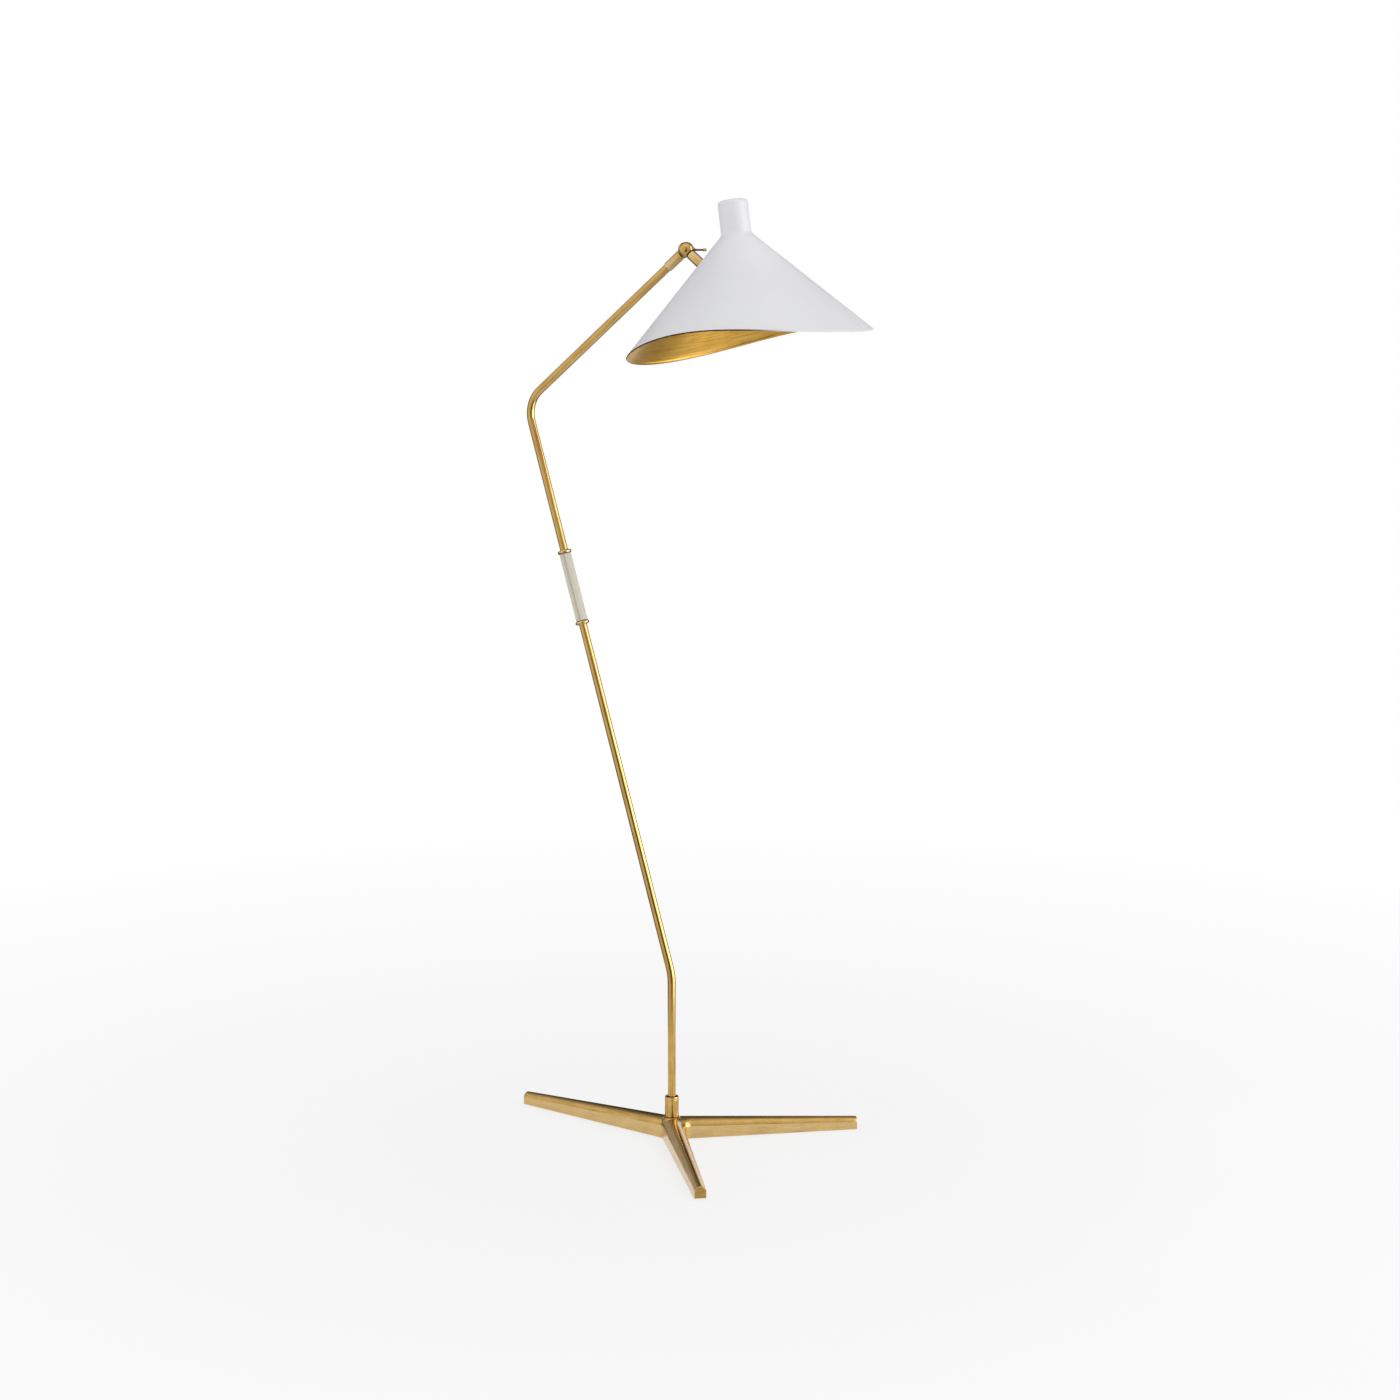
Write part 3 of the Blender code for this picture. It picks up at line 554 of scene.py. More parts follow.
def enamel():
    """Sprayed satin enamel: almost flat, with a very fine orange peel and a slight warm-cool drift."""
    f = Finish("white_enamel", (0.80, 0.80, 0.82), 0.0, 0.38, Specular_IOR_Level=0.45)
    at = f.object_coords()
    peel, drift, dust = f.noise(at, 420.0, 2.0), f.noise(at, 9.0, 3.0), f.noise(at, 2600.0, 2.0)
    f.colour(f.mix(f.spread(drift, 0.3, 0.7), (0.785, 0.785, 0.812), (0.815, 0.815, 0.833)))
    f.roughness(f.spread(add_up(f, ((0.6, drift), (0.4, dust))), 0.3, 0.7, 0.34, 0.44))
    f.bump(peel, 0.00004, 0.06)
    f.bump(dust, 0.000004, 0.1)
    return f.mat


def gold_lining():
    """Gilded inside of the shade, brushed round the cone."""
    f = Finish("gold_lining", (0.62, 0.37, 0.085), 1.0, 0.38)
    rings, rings2 = f.round_coords(0.0028, 1.0), f.round_coords(0.010, 1.0)
    cloud = f.object_coords()
    a = f.noise(rings, 1500.0, 3.0)
    b = f.noise(rings2, 260.0, 3.0)
    c = f.noise(cloud, 22.0, 4.0, 0.6)
    blend = add_up(f, ((0.34, a), (0.33, b), (0.33, c)))
    f.colour(f.ramp(f.spread(blend, 0.35, 0.65), ((0.0, (0.325, 0.166, 0.026)), (0.45, (0.530, 0.302, 0.055)), (1.0, (0.710, 0.450, 0.124)))))
    f.roughness(f.spread(blend, 0.3, 0.7, 0.46, 0.32))
    f.bump(a, 0.00004, 0.4)
    f.bump(b, 0.0001, 0.2)
    return f.mat


def leather():
    """Ivory leather: pebbled grain and tiny pores, with painted shade along the seam's step, in the stitch holes, over
    the lapped side and towards the ends.
    """
    f = Finish("ivory_leather", (0.64, 0.59, 0.50), 0.0, 0.55, Specular_IOR_Level=0.3, Sheen_Weight=0.15, Sheen_Roughness=0.5)
    at = f.object_coords()
    cells = f.add("ShaderNodeTexVoronoi", feature="F1")
    cells.inputs["Scale"].default_value = 1500.0
    f.link(at, cells.inputs["Vector"])
    pores, drift = f.noise(at, 5200.0, 2.0), f.noise(at, 120.0, 4.0)
    colour = f.ramp(f.spread(drift, 0.3, 0.7), ((0.0, (0.660, 0.615, 0.510)), (0.5, (0.690, 0.645, 0.540)), (1.0, (0.715, 0.675, 0.570))))
    colour = f.mix(f.math("MULTIPLY", f.spread(cells.outputs["Distance"], 0.35, 0.75), 0.10), colour, (0.50, 0.45, 0.36))
    # painted shade: the point attribute darkens the leather along the seam, in the stitch holes, over the lapped side
    # and at the ends
    colour = f.mix(f.math("MULTIPLY", f.wear_and_shade(), 0.8), colour, (0.22, 0.175, 0.12))
    f.colour(colour)
    f.roughness(f.spread(pores, 0.3, 0.7, 0.46, 0.66))
    f.bump(f.math("SUBTRACT", 1.0, cells.outputs["Distance"]), 0.00004, 0.16)
    f.bump(pores, 0.00001, 0.12)
    return f.mat


def thread():
    """Twisted waxed thread."""
    f = Finish("waxed_thread", (0.56, 0.49, 0.38), 0.0, 0.6)
    wave = f.add("ShaderNodeTexWave", wave_type="BANDS", bands_direction="DIAGONAL")
    wave.inputs["Scale"].default_value = 900.0
    wave.inputs["Distortion"].default_value = 1.0
    f.link(f.object_coords(), wave.inputs["Vector"])
    f.colour(f.mix(wave.outputs["Fac"], (0.40, 0.33, 0.24), (0.66, 0.59, 0.47)))
    f.roughness(f.spread(wave.outputs["Fac"], 0.0, 1.0, 0.7, 0.5))
    f.bump(wave.outputs["Fac"], 0.00008, 0.6)
    return f.mat


def opal():
    """Opal bulb glass, white inside, with a faint mottle."""
    f = Finish("opal_glass", (0.86, 0.85, 0.82), 0.0, 0.16, Coat_Weight=0.4, Coat_Roughness=0.05)
    at = f.object_coords()
    drift, fine = f.noise(at, 60.0, 3.0), f.noise(at, 900.0, 2.0)
    f.colour(f.mix(f.spread(drift, 0.3, 0.7), (0.84, 0.83, 0.79), (0.89, 0.88, 0.86)))
    f.roughness(f.spread(fine, 0.3, 0.7, 0.12, 0.22))
    f.bump(drift, 0.0001, 0.1)
    return f.mat


def shaded_rim_edge():
    """Painted shade on the shade's cut edge: near-black metal where the point attribute is high, white enamel where it
    is low.
    """
    f = Finish("rim_edge_painted_shade", (0.10, 0.055, 0.025), 1.0, 0.5)
    at = f.object_coords()
    a, b = f.noise(at, 700.0, 3.0), f.noise(at, 60.0, 3.0)
    edge_dark = f.mix(f.spread(add_up(f, ((0.5, a), (0.5, b))), 0.35, 0.65), (0.045, 0.024, 0.012), (0.13, 0.070, 0.03))
    edge_shade = f.wear_and_shade()
    f.colour(f.mix(edge_shade, (0.80, 0.80, 0.82), edge_dark))
    f.link(edge_shade, f.shader.inputs["Metallic"])
    f.roughness(f.spread(a, 0.3, 0.7, 0.42, 0.6))
    f.bump(a, 0.00003, 0.4)
    return f.mat


M_POLE = brass("brass_tube", TUBE_R * MM, rough=(0.10, 0.20))
M_TURNED = brass("brass_turned", 0.009, rough=(0.12, 0.24), along=0.05, tone=-0.10)
M_BALL = brass("brass_ball", 0.012, rough=(0.10, 0.18), along=0.3, tone=0.06)
M_CAST = brass("brass_cast", None, rough=(0.20, 0.38))
# painted shade: a darker copy of the cast brass for the let-in face of each leg end
M_LEG_END_SHADED = brass("brass_leg_end_painted_shade", None, rough=(0.24, 0.42), tone=-0.5)
# the third finish is painted shade for the shade's cut edge
M_ENAMEL, M_GOLD, M_SHADED_EDGE = enamel(), gold_lining(), shaded_rim_edge()
M_LEATHER, M_THREAD = leather(), thread()
M_STEEL = metal("zinc_steel", (0.50, 0.50, 0.50), 0.36)
M_THREADED = metal("bulb_aluminium", (0.68, 0.68, 0.68), 0.30)
M_CONTACT = metal("contact_brass", (0.60, 0.42, 0.18), 0.32)
# painted shade: a darkened brass for the clamp lever's body, whose tip stays bright
M_SHADED_BRASS = metal("lever_brass_painted_shade", (0.20, 0.115, 0.05), 0.34, contrast=0.45)
# painted shadow: near-black brass laid in bores, gaps and joints where shade falls
M_SHADOW = metal("painted_shadow_brass", (0.050, 0.030, 0.016), 0.5, contrast=0.4)
M_RUBBER = moulded("black_rubber", (0.028, 0.027, 0.026), 0.8)
M_PHENOLIC = moulded("dark_phenolic", (0.045, 0.036, 0.030), 0.32, scale=700.0)
M_PVC = moulded("brown_pvc", (0.085, 0.062, 0.045), 0.45)
M_OPAL = opal()


# ------------------------------------------------------------------ tripod --
LEG_TAPER = (LEG_HALF_HUB - LEG_HALF_TIP) / LEG_REACH
TAPER_LEN = sqrt(1 + LEG_TAPER ** 2)


def corner_of(beta):
    """Hub fillet beside a leg whose neighbour is 2*beta away: centre distance, then the stations where it starts and ends."""
    rc = (HUB_FILLET * TAPER_LEN + LEG_HALF_HUB) / (LEG_TAPER * cos(beta) + sin(beta))
    return rc, (rc - HUB_FILLET) * cos(beta), rc * cos(beta) - HUB_FILLET * LEG_TAPER / TAPER_LEN


def half_width(s, beta):
    rc, start, end = corner_of(beta)
    if s <= start:
        return s * tan(beta)
    if s < end:
        return rc * sin(beta) - sqrt(max(0.0, HUB_FILLET ** 2 - (s - rc * cos(beta)) ** 2))
    return LEG_HALF_HUB - LEG_TAPER * s


def to_outline(s, y, beta):
    """Distance from a point of the plan to its nearest side on the +y side of the leg."""
    rc, start, end = corner_of(beta)
    along = s - LEG_TAPER * (y - half_width(max(s, end), beta))
    if along < end:
        return hypot(s - rc * cos(beta), y - rc * sin(beta)) - HUB_FILLET
    return (LEG_HALF_HUB - LEG_TAPER * s - y) / TAPER_LEN


def section(s):
    half = LEG_HALF_HUB - LEG_TAPER * s
    height = LEG_TOP_HUB + (LEG_TOP_TIP - LEG_TOP_HUB) * s / LEG_REACH - LEG_FLOOR
    wall, rise = height * (1 - ARCH_SHARE), height * ARCH_SHARE
    return half, LEG_FLOOR + wall, rise, (half * half + rise * rise) / (2 * rise)


def crest(s, y, d):
    """Height of the casting's top: an arch across the leg, and the boss round the stem."""
    half, wall, rise, radius = section(s)
    x = half - min(max(d, 0.0), half)
    z = wall + sqrt(max(0.0, radius * radius - x * x)) - (radius - rise)
    rho = hypot(s, y)
    boss = HUB_TOP if rho < 11.5 else HUB_TOP - 0.30 * (rho - 11.5) ** 2
    return max(min(z, LEG_TOP_HUB), boss)


def tripod_shape():
    sh = Shape()
    wide, narrow = radians(67.5), radians(45.0)
    _, a0, a1 = corner_of(wide)
    _, b0, b1 = corner_of(narrow)
    marks = [0.0, a0, a1, b0, b1, 42.0, LEG_REACH - 0.8]
    counts = [7, 8, 8, 10, 7, 34]
    stations = [marks[0]]
    for lo, hi, n in zip(marks, marks[1:], counts):
        stations += [lo + (hi - lo) * (i + 1) / n for i in range(n)]
    across = [sin(pi / 2 * (i / 18.0 - 1.0)) for i in range(37)]
    last = len(across) - 1
    for number, (key, plus, minus) in enumerate((("rear", wide, wide), ("front_left", wide, narrow), ("front_right", narrow, wide))):
        az = radians(LEG_AZIMUTHS[key])
        ca, sa = cos(az), sin(az)
        place = lambda s, y, z: (s * ca - y * sa, s * sa + y * ca, z)
        shift_u = 0.2 * number
        top, low, foot = [], [], []
        for s in stations:
            wp, wm = half_width(s, plus), half_width(s, minus)
            inset = lambda beta: 0.5 * min(1.0, max(0.0, (s - corner_of(beta)[1]) / 6.0))
            row_t, row_f = [], []
            for t in across:
                y = t * (wp if t > 0 else wm)
                d = min(to_outline(s, y, plus), to_outline(s, -y, minus))
                edge = abs(abs(t) - 1.0) < 1e-9
                free = s > corner_of(plus if t > 0 else minus)[1] + 1e-6
                row_t.append(sh.point(place(s, y, crest(s, y, d)), 0.55 if edge and free else 0.0))
                w = wp if t > 0 else wm
                yb = t * max(w - inset(plus if t > 0 else minus), 0.0)
                row_f.append(sh.point(place(s, yb, LEG_FLOOR)))
            top.append(row_t)
            foot.append(row_f)
            low.append((sh.point(place(s, -wm, LEG_FLOOR + inset(minus)), 0.4), sh.point(place(s, wp, LEG_FLOOR + inset(plus)), 0.4)))
        uv = lambda y, s: (shift_u + y * MM, s * MM)
        for i in range(len(stations) - 1):
            s0, s1 = stations[i], stations[i + 1]
            for j in range(last):
                ys = [t * (half_width(s, plus if t > 0 else minus)) for s in (s0, s1) for t in (across[j], across[j + 1])]
                uvs = (uv(ys[0], s0), uv(ys[1], s0), uv(ys[3], s1), uv(ys[2], s1))
                sh.face((top[i][j], top[i][j + 1], top[i + 1][j + 1], top[i + 1][j]), uvs)
                sh.face((foot[i][j + 1], foot[i][j], foot[i + 1][j], foot[i + 1][j + 1]), (uvs[1], uvs[0], uvs[3], uvs[2]))
            for side, beta in ((0, minus), (1, plus)):
                if s1 <= corner_of(beta)[1] + 1e-6:
                    continue
                j = last if side else 0
                w0, w1 = section(s0)[1] * MM, section(s1)[1] * MM
                base_u = shift_u + (0.06 if side else 0.10)
                quads = [(top[i][j], top[i + 1][j], low[i + 1][side], low[i][side]), (low[i][side], low[i + 1][side], foot[i + 1][j], foot[i][j])]
                coords = [((base_u + w0, s0 * MM), (base_u + w1, s1 * MM), (base_u, s1 * MM), (base_u, s0 * MM)),
                          ((base_u, s0 * MM), (base_u, s1 * MM), (base_u - 0.001, s1 * MM), (base_u - 0.001, s0 * MM))]
                for q, c in zip(quads, coords):
                    sh.face(q if side else q[::-1], c if side else c[::-1])
        # end face: a small bevel, a narrow rim and a face let in a little, the let-in face in darker brass as painted
        # shade
        loop = top[-1] + [low[-1][1]] + foot[-1][::-1] + [low[-1][0]]
        flat = []
        for v in loop:
            x, y, z = sh.co[v]
            flat.append(Vector((-x * sa + y * ca, z)))
        count = len(flat)

        def inward(depth, at, wear_and_shade):
            half, wall, rise, radius = section(LEG_REACH - 0.8)
            out = []
            for i, p in enumerate(flat):
                if i < len(across):
                    y = p.x * (half - depth) / half
                    root = sqrt(radius * radius - y * y)
                    z = wall + root - (radius - rise) - depth * radius / root
                else:
                    y, z = min(max(p.x, depth - half), half - depth), max(p.y, LEG_FLOOR + depth)
                out.append(sh.point(place(at, y, z), wear_and_shade))
            return out

        rings = [loop] + [inward(*a) for a in ((0.10, LEG_REACH - 0.42, 1.0), (0.32, LEG_REACH - 0.12, 1.0), (0.70, LEG_REACH, 1.0),
                                               (1.05, LEG_REACH, 0.8), (1.25, LEG_REACH - 0.35, 0.0))]
        for a, b in zip(rings, rings[1:]):
            for i in range(count):
                i2 = (i + 1) % count
                c = [uv(flat[k].x, LEG_REACH + 30 + flat[k].y) for k in (i, i2, i2, i)]
                sh.face((a[i], a[i2], b[i2], b[i]), c, 1 if b is rings[-1] else 0)
        hub = sh.point(place(LEG_REACH - 0.35, 0.0, 10.0))
        for i in range(count):
            i2 = (i + 1) % count
            c = [(shift_u + flat[i].y * MM, flat[i].x * MM + 0.5), (shift_u + flat[i2].y * MM, flat[i2].x * MM + 0.5), (shift_u + 0.01, 0.5)]
            sh.face((rings[-1][i], rings[-1][i2], hub), c, 1)
    return sh


def clean(ob, distance=0.00001):
    bm = bmesh.new()
    bm.from_mesh(ob.data)
    bmesh.ops.remove_doubles(bm, verts=bm.verts, dist=distance)
    bmesh.ops.dissolve_degenerate(bm, edges=bm.edges, dist=distance * 0.1)
    bmesh.ops.recalc_face_normals(bm, faces=bm.faces)
    loose = sum(1 for e in bm.edges if len(e.link_faces) != 2)
    bm.to_mesh(ob.data)
    bm.free()
    if loose:
        print("open or crowded edges in", ob.name, loose)
    return ob


tripod = clean(to_object("tripod_casting", tripod_shape(), [M_CAST, M_LEG_END_SHADED], STEM))
tools = [rod_tool(RECESS_R, -5.0, RECESS_TOP, STEM, 96), rod_tool(5.2, 10.0, 50.0, STEM), rod_tool(3.6, 9.0, 30.0, OUTLET)]
for az in LEG_AZIMUTHS.values():
    tools.append(rod_tool(PAD_R + GAP, -5.0, PAD_TOP + GAP, STEM @ shift(PAD_AT * cos(radians(az)), PAD_AT * sin(radians(az)), 0)))
cut(tripod, tools, sharp=13.0)
piece(tripod, "stand", "antique_brass", "tripod_base")

pad_profile = soften([(0, PAD_TOP), (PAD_R, PAD_TOP), (PAD_R, 0), (PAD_R - 1.6, 0), (PAD_R - 1.9, 0.35), (0, 0.35)], 0.4, closed=False)
for key, az in LEG_AZIMUTHS.items():
    at = STEM @ shift(PAD_AT * cos(radians(az)), PAD_AT * sin(radians(az)), 0)
    piece(to_object("pad_" + key, lathe(pad_profile, 64, closed=False), [M_RUBBER], at), "stand", "black_rubber", "foot_pad_" + key)

bushing = soften([(2.5, 22.0), (4.0, 22.0), (4.6, 21.4), (4.6, 20.4), (3.3, 20.4), (3.3, 12.9), (2.5, 12.9)], 0.25)
piece(to_object("cord_outlet_bushing", lathe(bushing, 48), [M_PHENOLIC], OUTLET), "stand", "dark_phenolic", "cord_bushing")

# ------------------------------------------------------------- stem socket --
socket = soften([(8.1, SOCKET_TOP - 0.75), (8.9, SOCKET_TOP), (10.0, SOCKET_TOP), (10.8, SOCKET_TOP - 0.4), (SOCKET_R, SOCKET_TOP - 1.3),
                 (SOCKET_R, SOCKET_TOP - 3.4), (SOCKET_R - 0.22, SOCKET_TOP - 3.8), (SOCKET_R - 0.22, SOCKET_TOP - 4.3), (SOCKET_R, SOCKET_TOP - 4.7),
                 (SOCKET_R, SOCKET_BOTTOM + 1.0), (SOCKET_R - 1.0, SOCKET_BOTTOM), (5.35, SOCKET_BOTTOM), (5.35, POLE_START - GAP),
                 (BORE_R, POLE_START - GAP), (BORE_R, SOCKET_TOP - 4.0), (7.9, SOCKET_TOP - 3.0)], 0.35)
# painted shadow in the socket's mouth, where the tube goes in
shaded_mouth = by_rule(socket, lambda r, z: 1 if r < 8.35 and z > 45 else 0)
piece(to_object("stem_socket", lathe(socket, 128, mats=shaded_mouth), [M_TURNED, M_SHADOW], STEM), "stand", "antique_brass", "base_socket")

# -------------------------------------------------------------------- pole --
start = Vector((0, 0, POLE_START))
middle = (COLLAR_LO_S + COLLAR_UP_S) / 2
lower_end, upper_start = bend_lo + lean_dir * (middle - 1.0), bend_lo + lean_dir * (middle + 1.0)
upper_end = BALL - arm_dir * 20.6
lower_path = divided([start] + arc_bend(start, bend_lo, lower_end, BEND_LO_R, 14) + [lower_end], 24.0)
upper_path = divided([upper_start] + arc_bend(upper_start, bend_up, upper_end, BEND_UP_R, 26) + [upper_end], 24.0)
piece(to_object("pole_lower", sweep(lower_path, TUBE_R, TUBE_R - TUBE_WALL, 56), [M_POLE], STEM), "stand", "antique_brass", "lower_pole")
piece(to_object("pole_upper", sweep(upper_path, TUBE_R, TUBE_R - TUBE_WALL, 56), [M_POLE], STEM), "stand", "antique_brass", "upper_pole")

h = COLLAR_H / 2
bead = soften([(BORE_R, h + 1.1), (7.2, h + 1.1), (7.7, h + 0.3), (COLLAR_R - 1.9, h), (COLLAR_R - 0.7, h - 0.7), (COLLAR_R, h - 2.0),
               (COLLAR_R, -h + 2.0), (COLLAR_R - 0.7, -h + 0.7), (COLLAR_R - 1.9, -h), (BORE_R, -h)], 0.8, 3)
bead = [(r, z, 0.7 if r > COLLAR_R - 0.5 else 0.15) for r, z, w in bead]
# painted shadow on the collar faces that meet the leather
shaded_joint_side = by_rule(bead, lambda r, z: 1 if z < 0.55 - h and r < COLLAR_R - 0.75 else 0)
piece(to_object("collar_upper", lathe(bead, 112, mats=shaded_joint_side), [M_TURNED, M_SHADOW], LEANING @ shift(0, 0, COLLAR_UP_S)), "stand", "antique_brass", "upper_collar")
piece(to_object("collar_lower", lathe(bead, 112, mats=shaded_joint_side), [M_TURNED, M_SHADOW], LEANING @ shift(0, 0, COLLAR_LO_S) @ turn(pi, "X")), "stand", "antique_brass", "lower_collar")

# -------------------------------------------------------------------- grip --
G_LO, G_HI = COLLAR_LO_S + h + GAP, COLLAR_UP_S - h - GAP
SEAM, STITCH_X, STITCH_PITCH = radians(-66.0), -1.7, 3.3


def leather_radius(x, z):
    """Radius of the wrapped leather at x millimetres round from the seam's edge."""
    lap = 0.30 * max(0.0, 1.0 + x / 11.0) ** 1.5 if x < 0 else 0.0
    if abs(x) < 0.18:
        t = (x + 0.18) / 0.36
        lap = 0.30 * (1 - t * t * (3 - 2 * t))
    r = 9.29 + lap
    r -= 0.13 * np.exp(-(x / 0.30) ** 2) if x > 0 else 0.0
    pull = 0.5 + 0.5 * cos(2 * pi * (z - G_LO - 3.0) / STITCH_PITCH)
    r -= (0.07 + 0.05 * pull) * np.exp(-((x - STITCH_X) / 0.55) ** 2)
    r += 0.035 * sin(z * 0.31 + 2.0 * sin(x * 0.21)) * sin(x * 0.17 + 0.6)
    end = min(z - G_LO, G_HI - z)
    if end < 1.0:
        r -= 0.8 * (1.0 - sqrt(max(0.0, 1.0 - (1.0 - end) ** 2)))
    return min(float(r), GRIP_R)


def grip_shape():
    sh = Shape()
    xs = list(np.arange(-3.0, 1.2, 0.12))
    turn_length = 2 * pi * 9.4
    xs += list(np.arange(1.2, turn_length - 3.0, 0.45))
    ends = [0.0, 0.06, 0.2, 0.45, 0.75, 1.1]
    zs = [G_LO + e for e in ends] + list(np.arange(G_LO + 1.7, G_HI - 1.2, 0.55)) + [G_HI - e for e in ends[::-1]]
    n = len(xs)
    angles = [SEAM + 2 * pi * x / turn_length for x in xs]
    rows, inner = [], []
    for z in zs:
        row = []
        for x, a in zip(xs, angles):
            signed = x if x <= turn_length / 2 else x - turn_length
            r = leather_radius(signed, z)
            end = min(z - G_LO, G_HI - z)
            hole = 0.5 + 0.5 * cos(2 * pi * ((z - G_LO - 3.0) / STITCH_PITCH - 0.5))
            # painted shade: darker along the seam's step, in the stitch holes, over the lapped side and towards both
            # ends
            wear_and_shade = max(0.95 * np.exp(-((signed - 0.15) / 0.42) ** 2), (0.25 + 0.6 * hole ** 3) * np.exp(-((signed - STITCH_X) / 0.40) ** 2),
                       0.5 * max(0.0, 1 - end / 1.2), 0.22 * np.exp(signed / 2.2) if signed < 0 else 0.0)
            row.append(sh.point((r * cos(a), r * sin(a), z), float(wear_and_shade)))
        rows.append(row)
    for z in (G_LO, G_HI):
        inner.append([sh.point(((GRIP_CORE_R + GAP) * cos(a), (GRIP_CORE_R + GAP) * sin(a), z)) for a in angles])
    chain = [inner[0]] + rows + [inner[1]]
    for i in range(len(chain)):
        a, b = chain[i], chain[(i + 1) % len(chain)]
        for k in range(n):
            k2 = (k + 1) % n
            u0, u1, v0, v1 = k / n, (k + 1) / n, i * 0.0006, (i + 1) * 0.0006
            sh.face((a[k], a[k2], b[k2], b[k]), ((u0, v0), (u1, v0), (u1, v1), (u0, v1)))
    return sh.outward()


def stitches_shape():
    sh = Shape()
    z = G_LO + 3.0
    a = SEAM + STITCH_X / 9.4
    out, side, up = Vector((cos(a), sin(a), 0)), Vector((-sin(a), cos(a), 0)), Vector((0, 0, 1))
    while z < G_HI - 2.5:
        lean_up = (up + side * 0.10).normalized()
        rings = []
        for i in range(9):
            t = -pi / 2 + pi * i / 8
            r = 0.30 * max(0.02, cos(t)) ** 0.7
            centre = out * (9.40 + 0.05 * cos(t)) + up * z + lean_up * 1.25 * sin(t)
            rings.append([sh.point(centre + (out * cos(q) + side * sin(q)) * r) for q in [2 * pi * k / 12 for k in range(12)]])
        for i in range(8):
            for k in range(12):
                k2 = (k + 1) % 12
                sh.face((rings[i][k], rings[i][k2], rings[i + 1][k2], rings[i + 1][k]), ((0, 0), (1, 0), (1, 1), (0, 1)))
        sh.face(rings[0][::-1], [(0, 0)] * 12)
        sh.face(rings[-1], [(0, 0)] * 12)
        z += STITCH_PITCH
    return sh.outward()


piece(to_object("grip_wrap", grip_shape(), [M_LEATHER], LEANING, sharp=60), "stand", "ivory_leather", "grip_leather")
piece(to_object("grip_stitches", stitches_shape(), [M_THREAD], LEANING, sharp=80), "stand", "ivory_leather")

# ------------------------------------------------------------ arm and ball --
seat = BALL_R + 0.35
seat_arc = [(r, -sqrt(seat * seat - r * r)) for r in np.linspace(BORE_R, SLEEVE_R - 0.25, 5)]
sleeve = soften([(SLEEVE_R, seat_arc[-1][1] - 0.25), (SLEEVE_R, -SLEEVE_LENGTH + 1.0), (SLEEVE_R - 0.55, -SLEEVE_LENGTH), (BORE_R + 0.3, -SLEEVE_LENGTH), (BORE_R + 0.1, -SLEEVE_LENGTH + 2.0),
                 (BORE_R, -SLEEVE_LENGTH + 3.0)], 0.3, closed=False)
sleeve = [(r, z, 1.0 if z < -SLEEVE_LENGTH + 1.3 and r > BORE_R + 0.4 else w) for r, z, w in sleeve]
sleeve += [(r, z, 0.0) for r, z in seat_arc]
# painted shadow in the sleeve's mouth, where the tube goes in
shaded_mouth = by_rule(sleeve, lambda r, z: 1 if r < BORE_R + 0.35 and z < -30 else 0)
piece(to_object("arm_sleeve", lathe(sleeve, 112, mats=shaded_mouth), [M_TURNED, M_SHADOW], ARM), "stand", "antique_brass", "arm_socket")

ball_profile = [(BALL_R * sin(pi * i / 72), BALL_R * cos(pi * i / 72), 0.0) for i in range(73)]
ball_profile[0], ball_profile[-1] = (0.0, BALL_R, 0.0), (0.0, -BALL_R, 0.0)
ball = to_object("swivel_sphere", lathe(ball_profile, 112, closed=False), [M_BALL], TILT @ PIN)
cut(ball, [rod_tool(6.3, -20.0, -9.0, ARM, 64)], "UNION")
cut(ball, [block_tool((-20, -SLOT_HALF, -SLOT_BACK), (20, SLOT_HALF, 20), ARM), rod_tool(2.4, -30.0, -6.0, ARM),
           rod_tool(PIN_R + GAP, -9.8, 20.0, TILT @ PIN)], sharp=30)
piece(ball, "stand", "antique_brass", "swivel_ball")

pin = lathe(soften([(0, LEVER_Y + 1.0), (PIN_R, LEVER_Y + 1.0), (PIN_R, -9.5), (0, -9.5)], 0.4, closed=False), 48, closed=False)
piece(to_object("pin_pivot", pin, [M_STEEL], TILT @ PIN), "stand", "zinc_steel", "pivot_pin")

boss = soften([(0.0, 3.2), (3.4, 3.2), (4.3, 2.3), (4.3, -3.1), (PIN_R + GAP, -3.1), (PIN_R + GAP, 1.3), (0.0, 1.3)], 0.35, closed=False)
# the lever's body takes the darkened brass as painted shade
lever = to_object("clamp_lever", lathe(boss, 64, closed=False), [M_SHADED_BRASS], LEVER @ PIN)
cut(lever, [to_object("tool", lathe([(0, LEVER_REACH - 7.0, 0), (1.5, LEVER_REACH - 7.0, 0), (1.5, 9.0, 0), (1.75, 6.0, 0), (1.9, 3.0, 0), (0, 3.0, 0)], 40, closed=False),
                      [], LEVER @ turn(pi / 2, "Y"))], "UNION")
piece(lever, "lock_lever_body", "antique_brass", "lock_lever")
tip = soften([(0.0, 7.0), (1.3, 7.0), (2.1, 6.2), (2.1, 0.8), (1.6, 0.3), (0.0, 0.3)], 0.35, closed=False)
piece(to_object("clamp_lever_tip", lathe(tip, 48, closed=False), [M_TURNED], LEVER @ shift(LEVER_REACH - 7.0) @ turn(pi / 2, "Y")), "lock_lever_body", "antique_brass", "lever_knob")

# -------------------------------------------------------------------- head --
STUD_END = REACH + 12.0


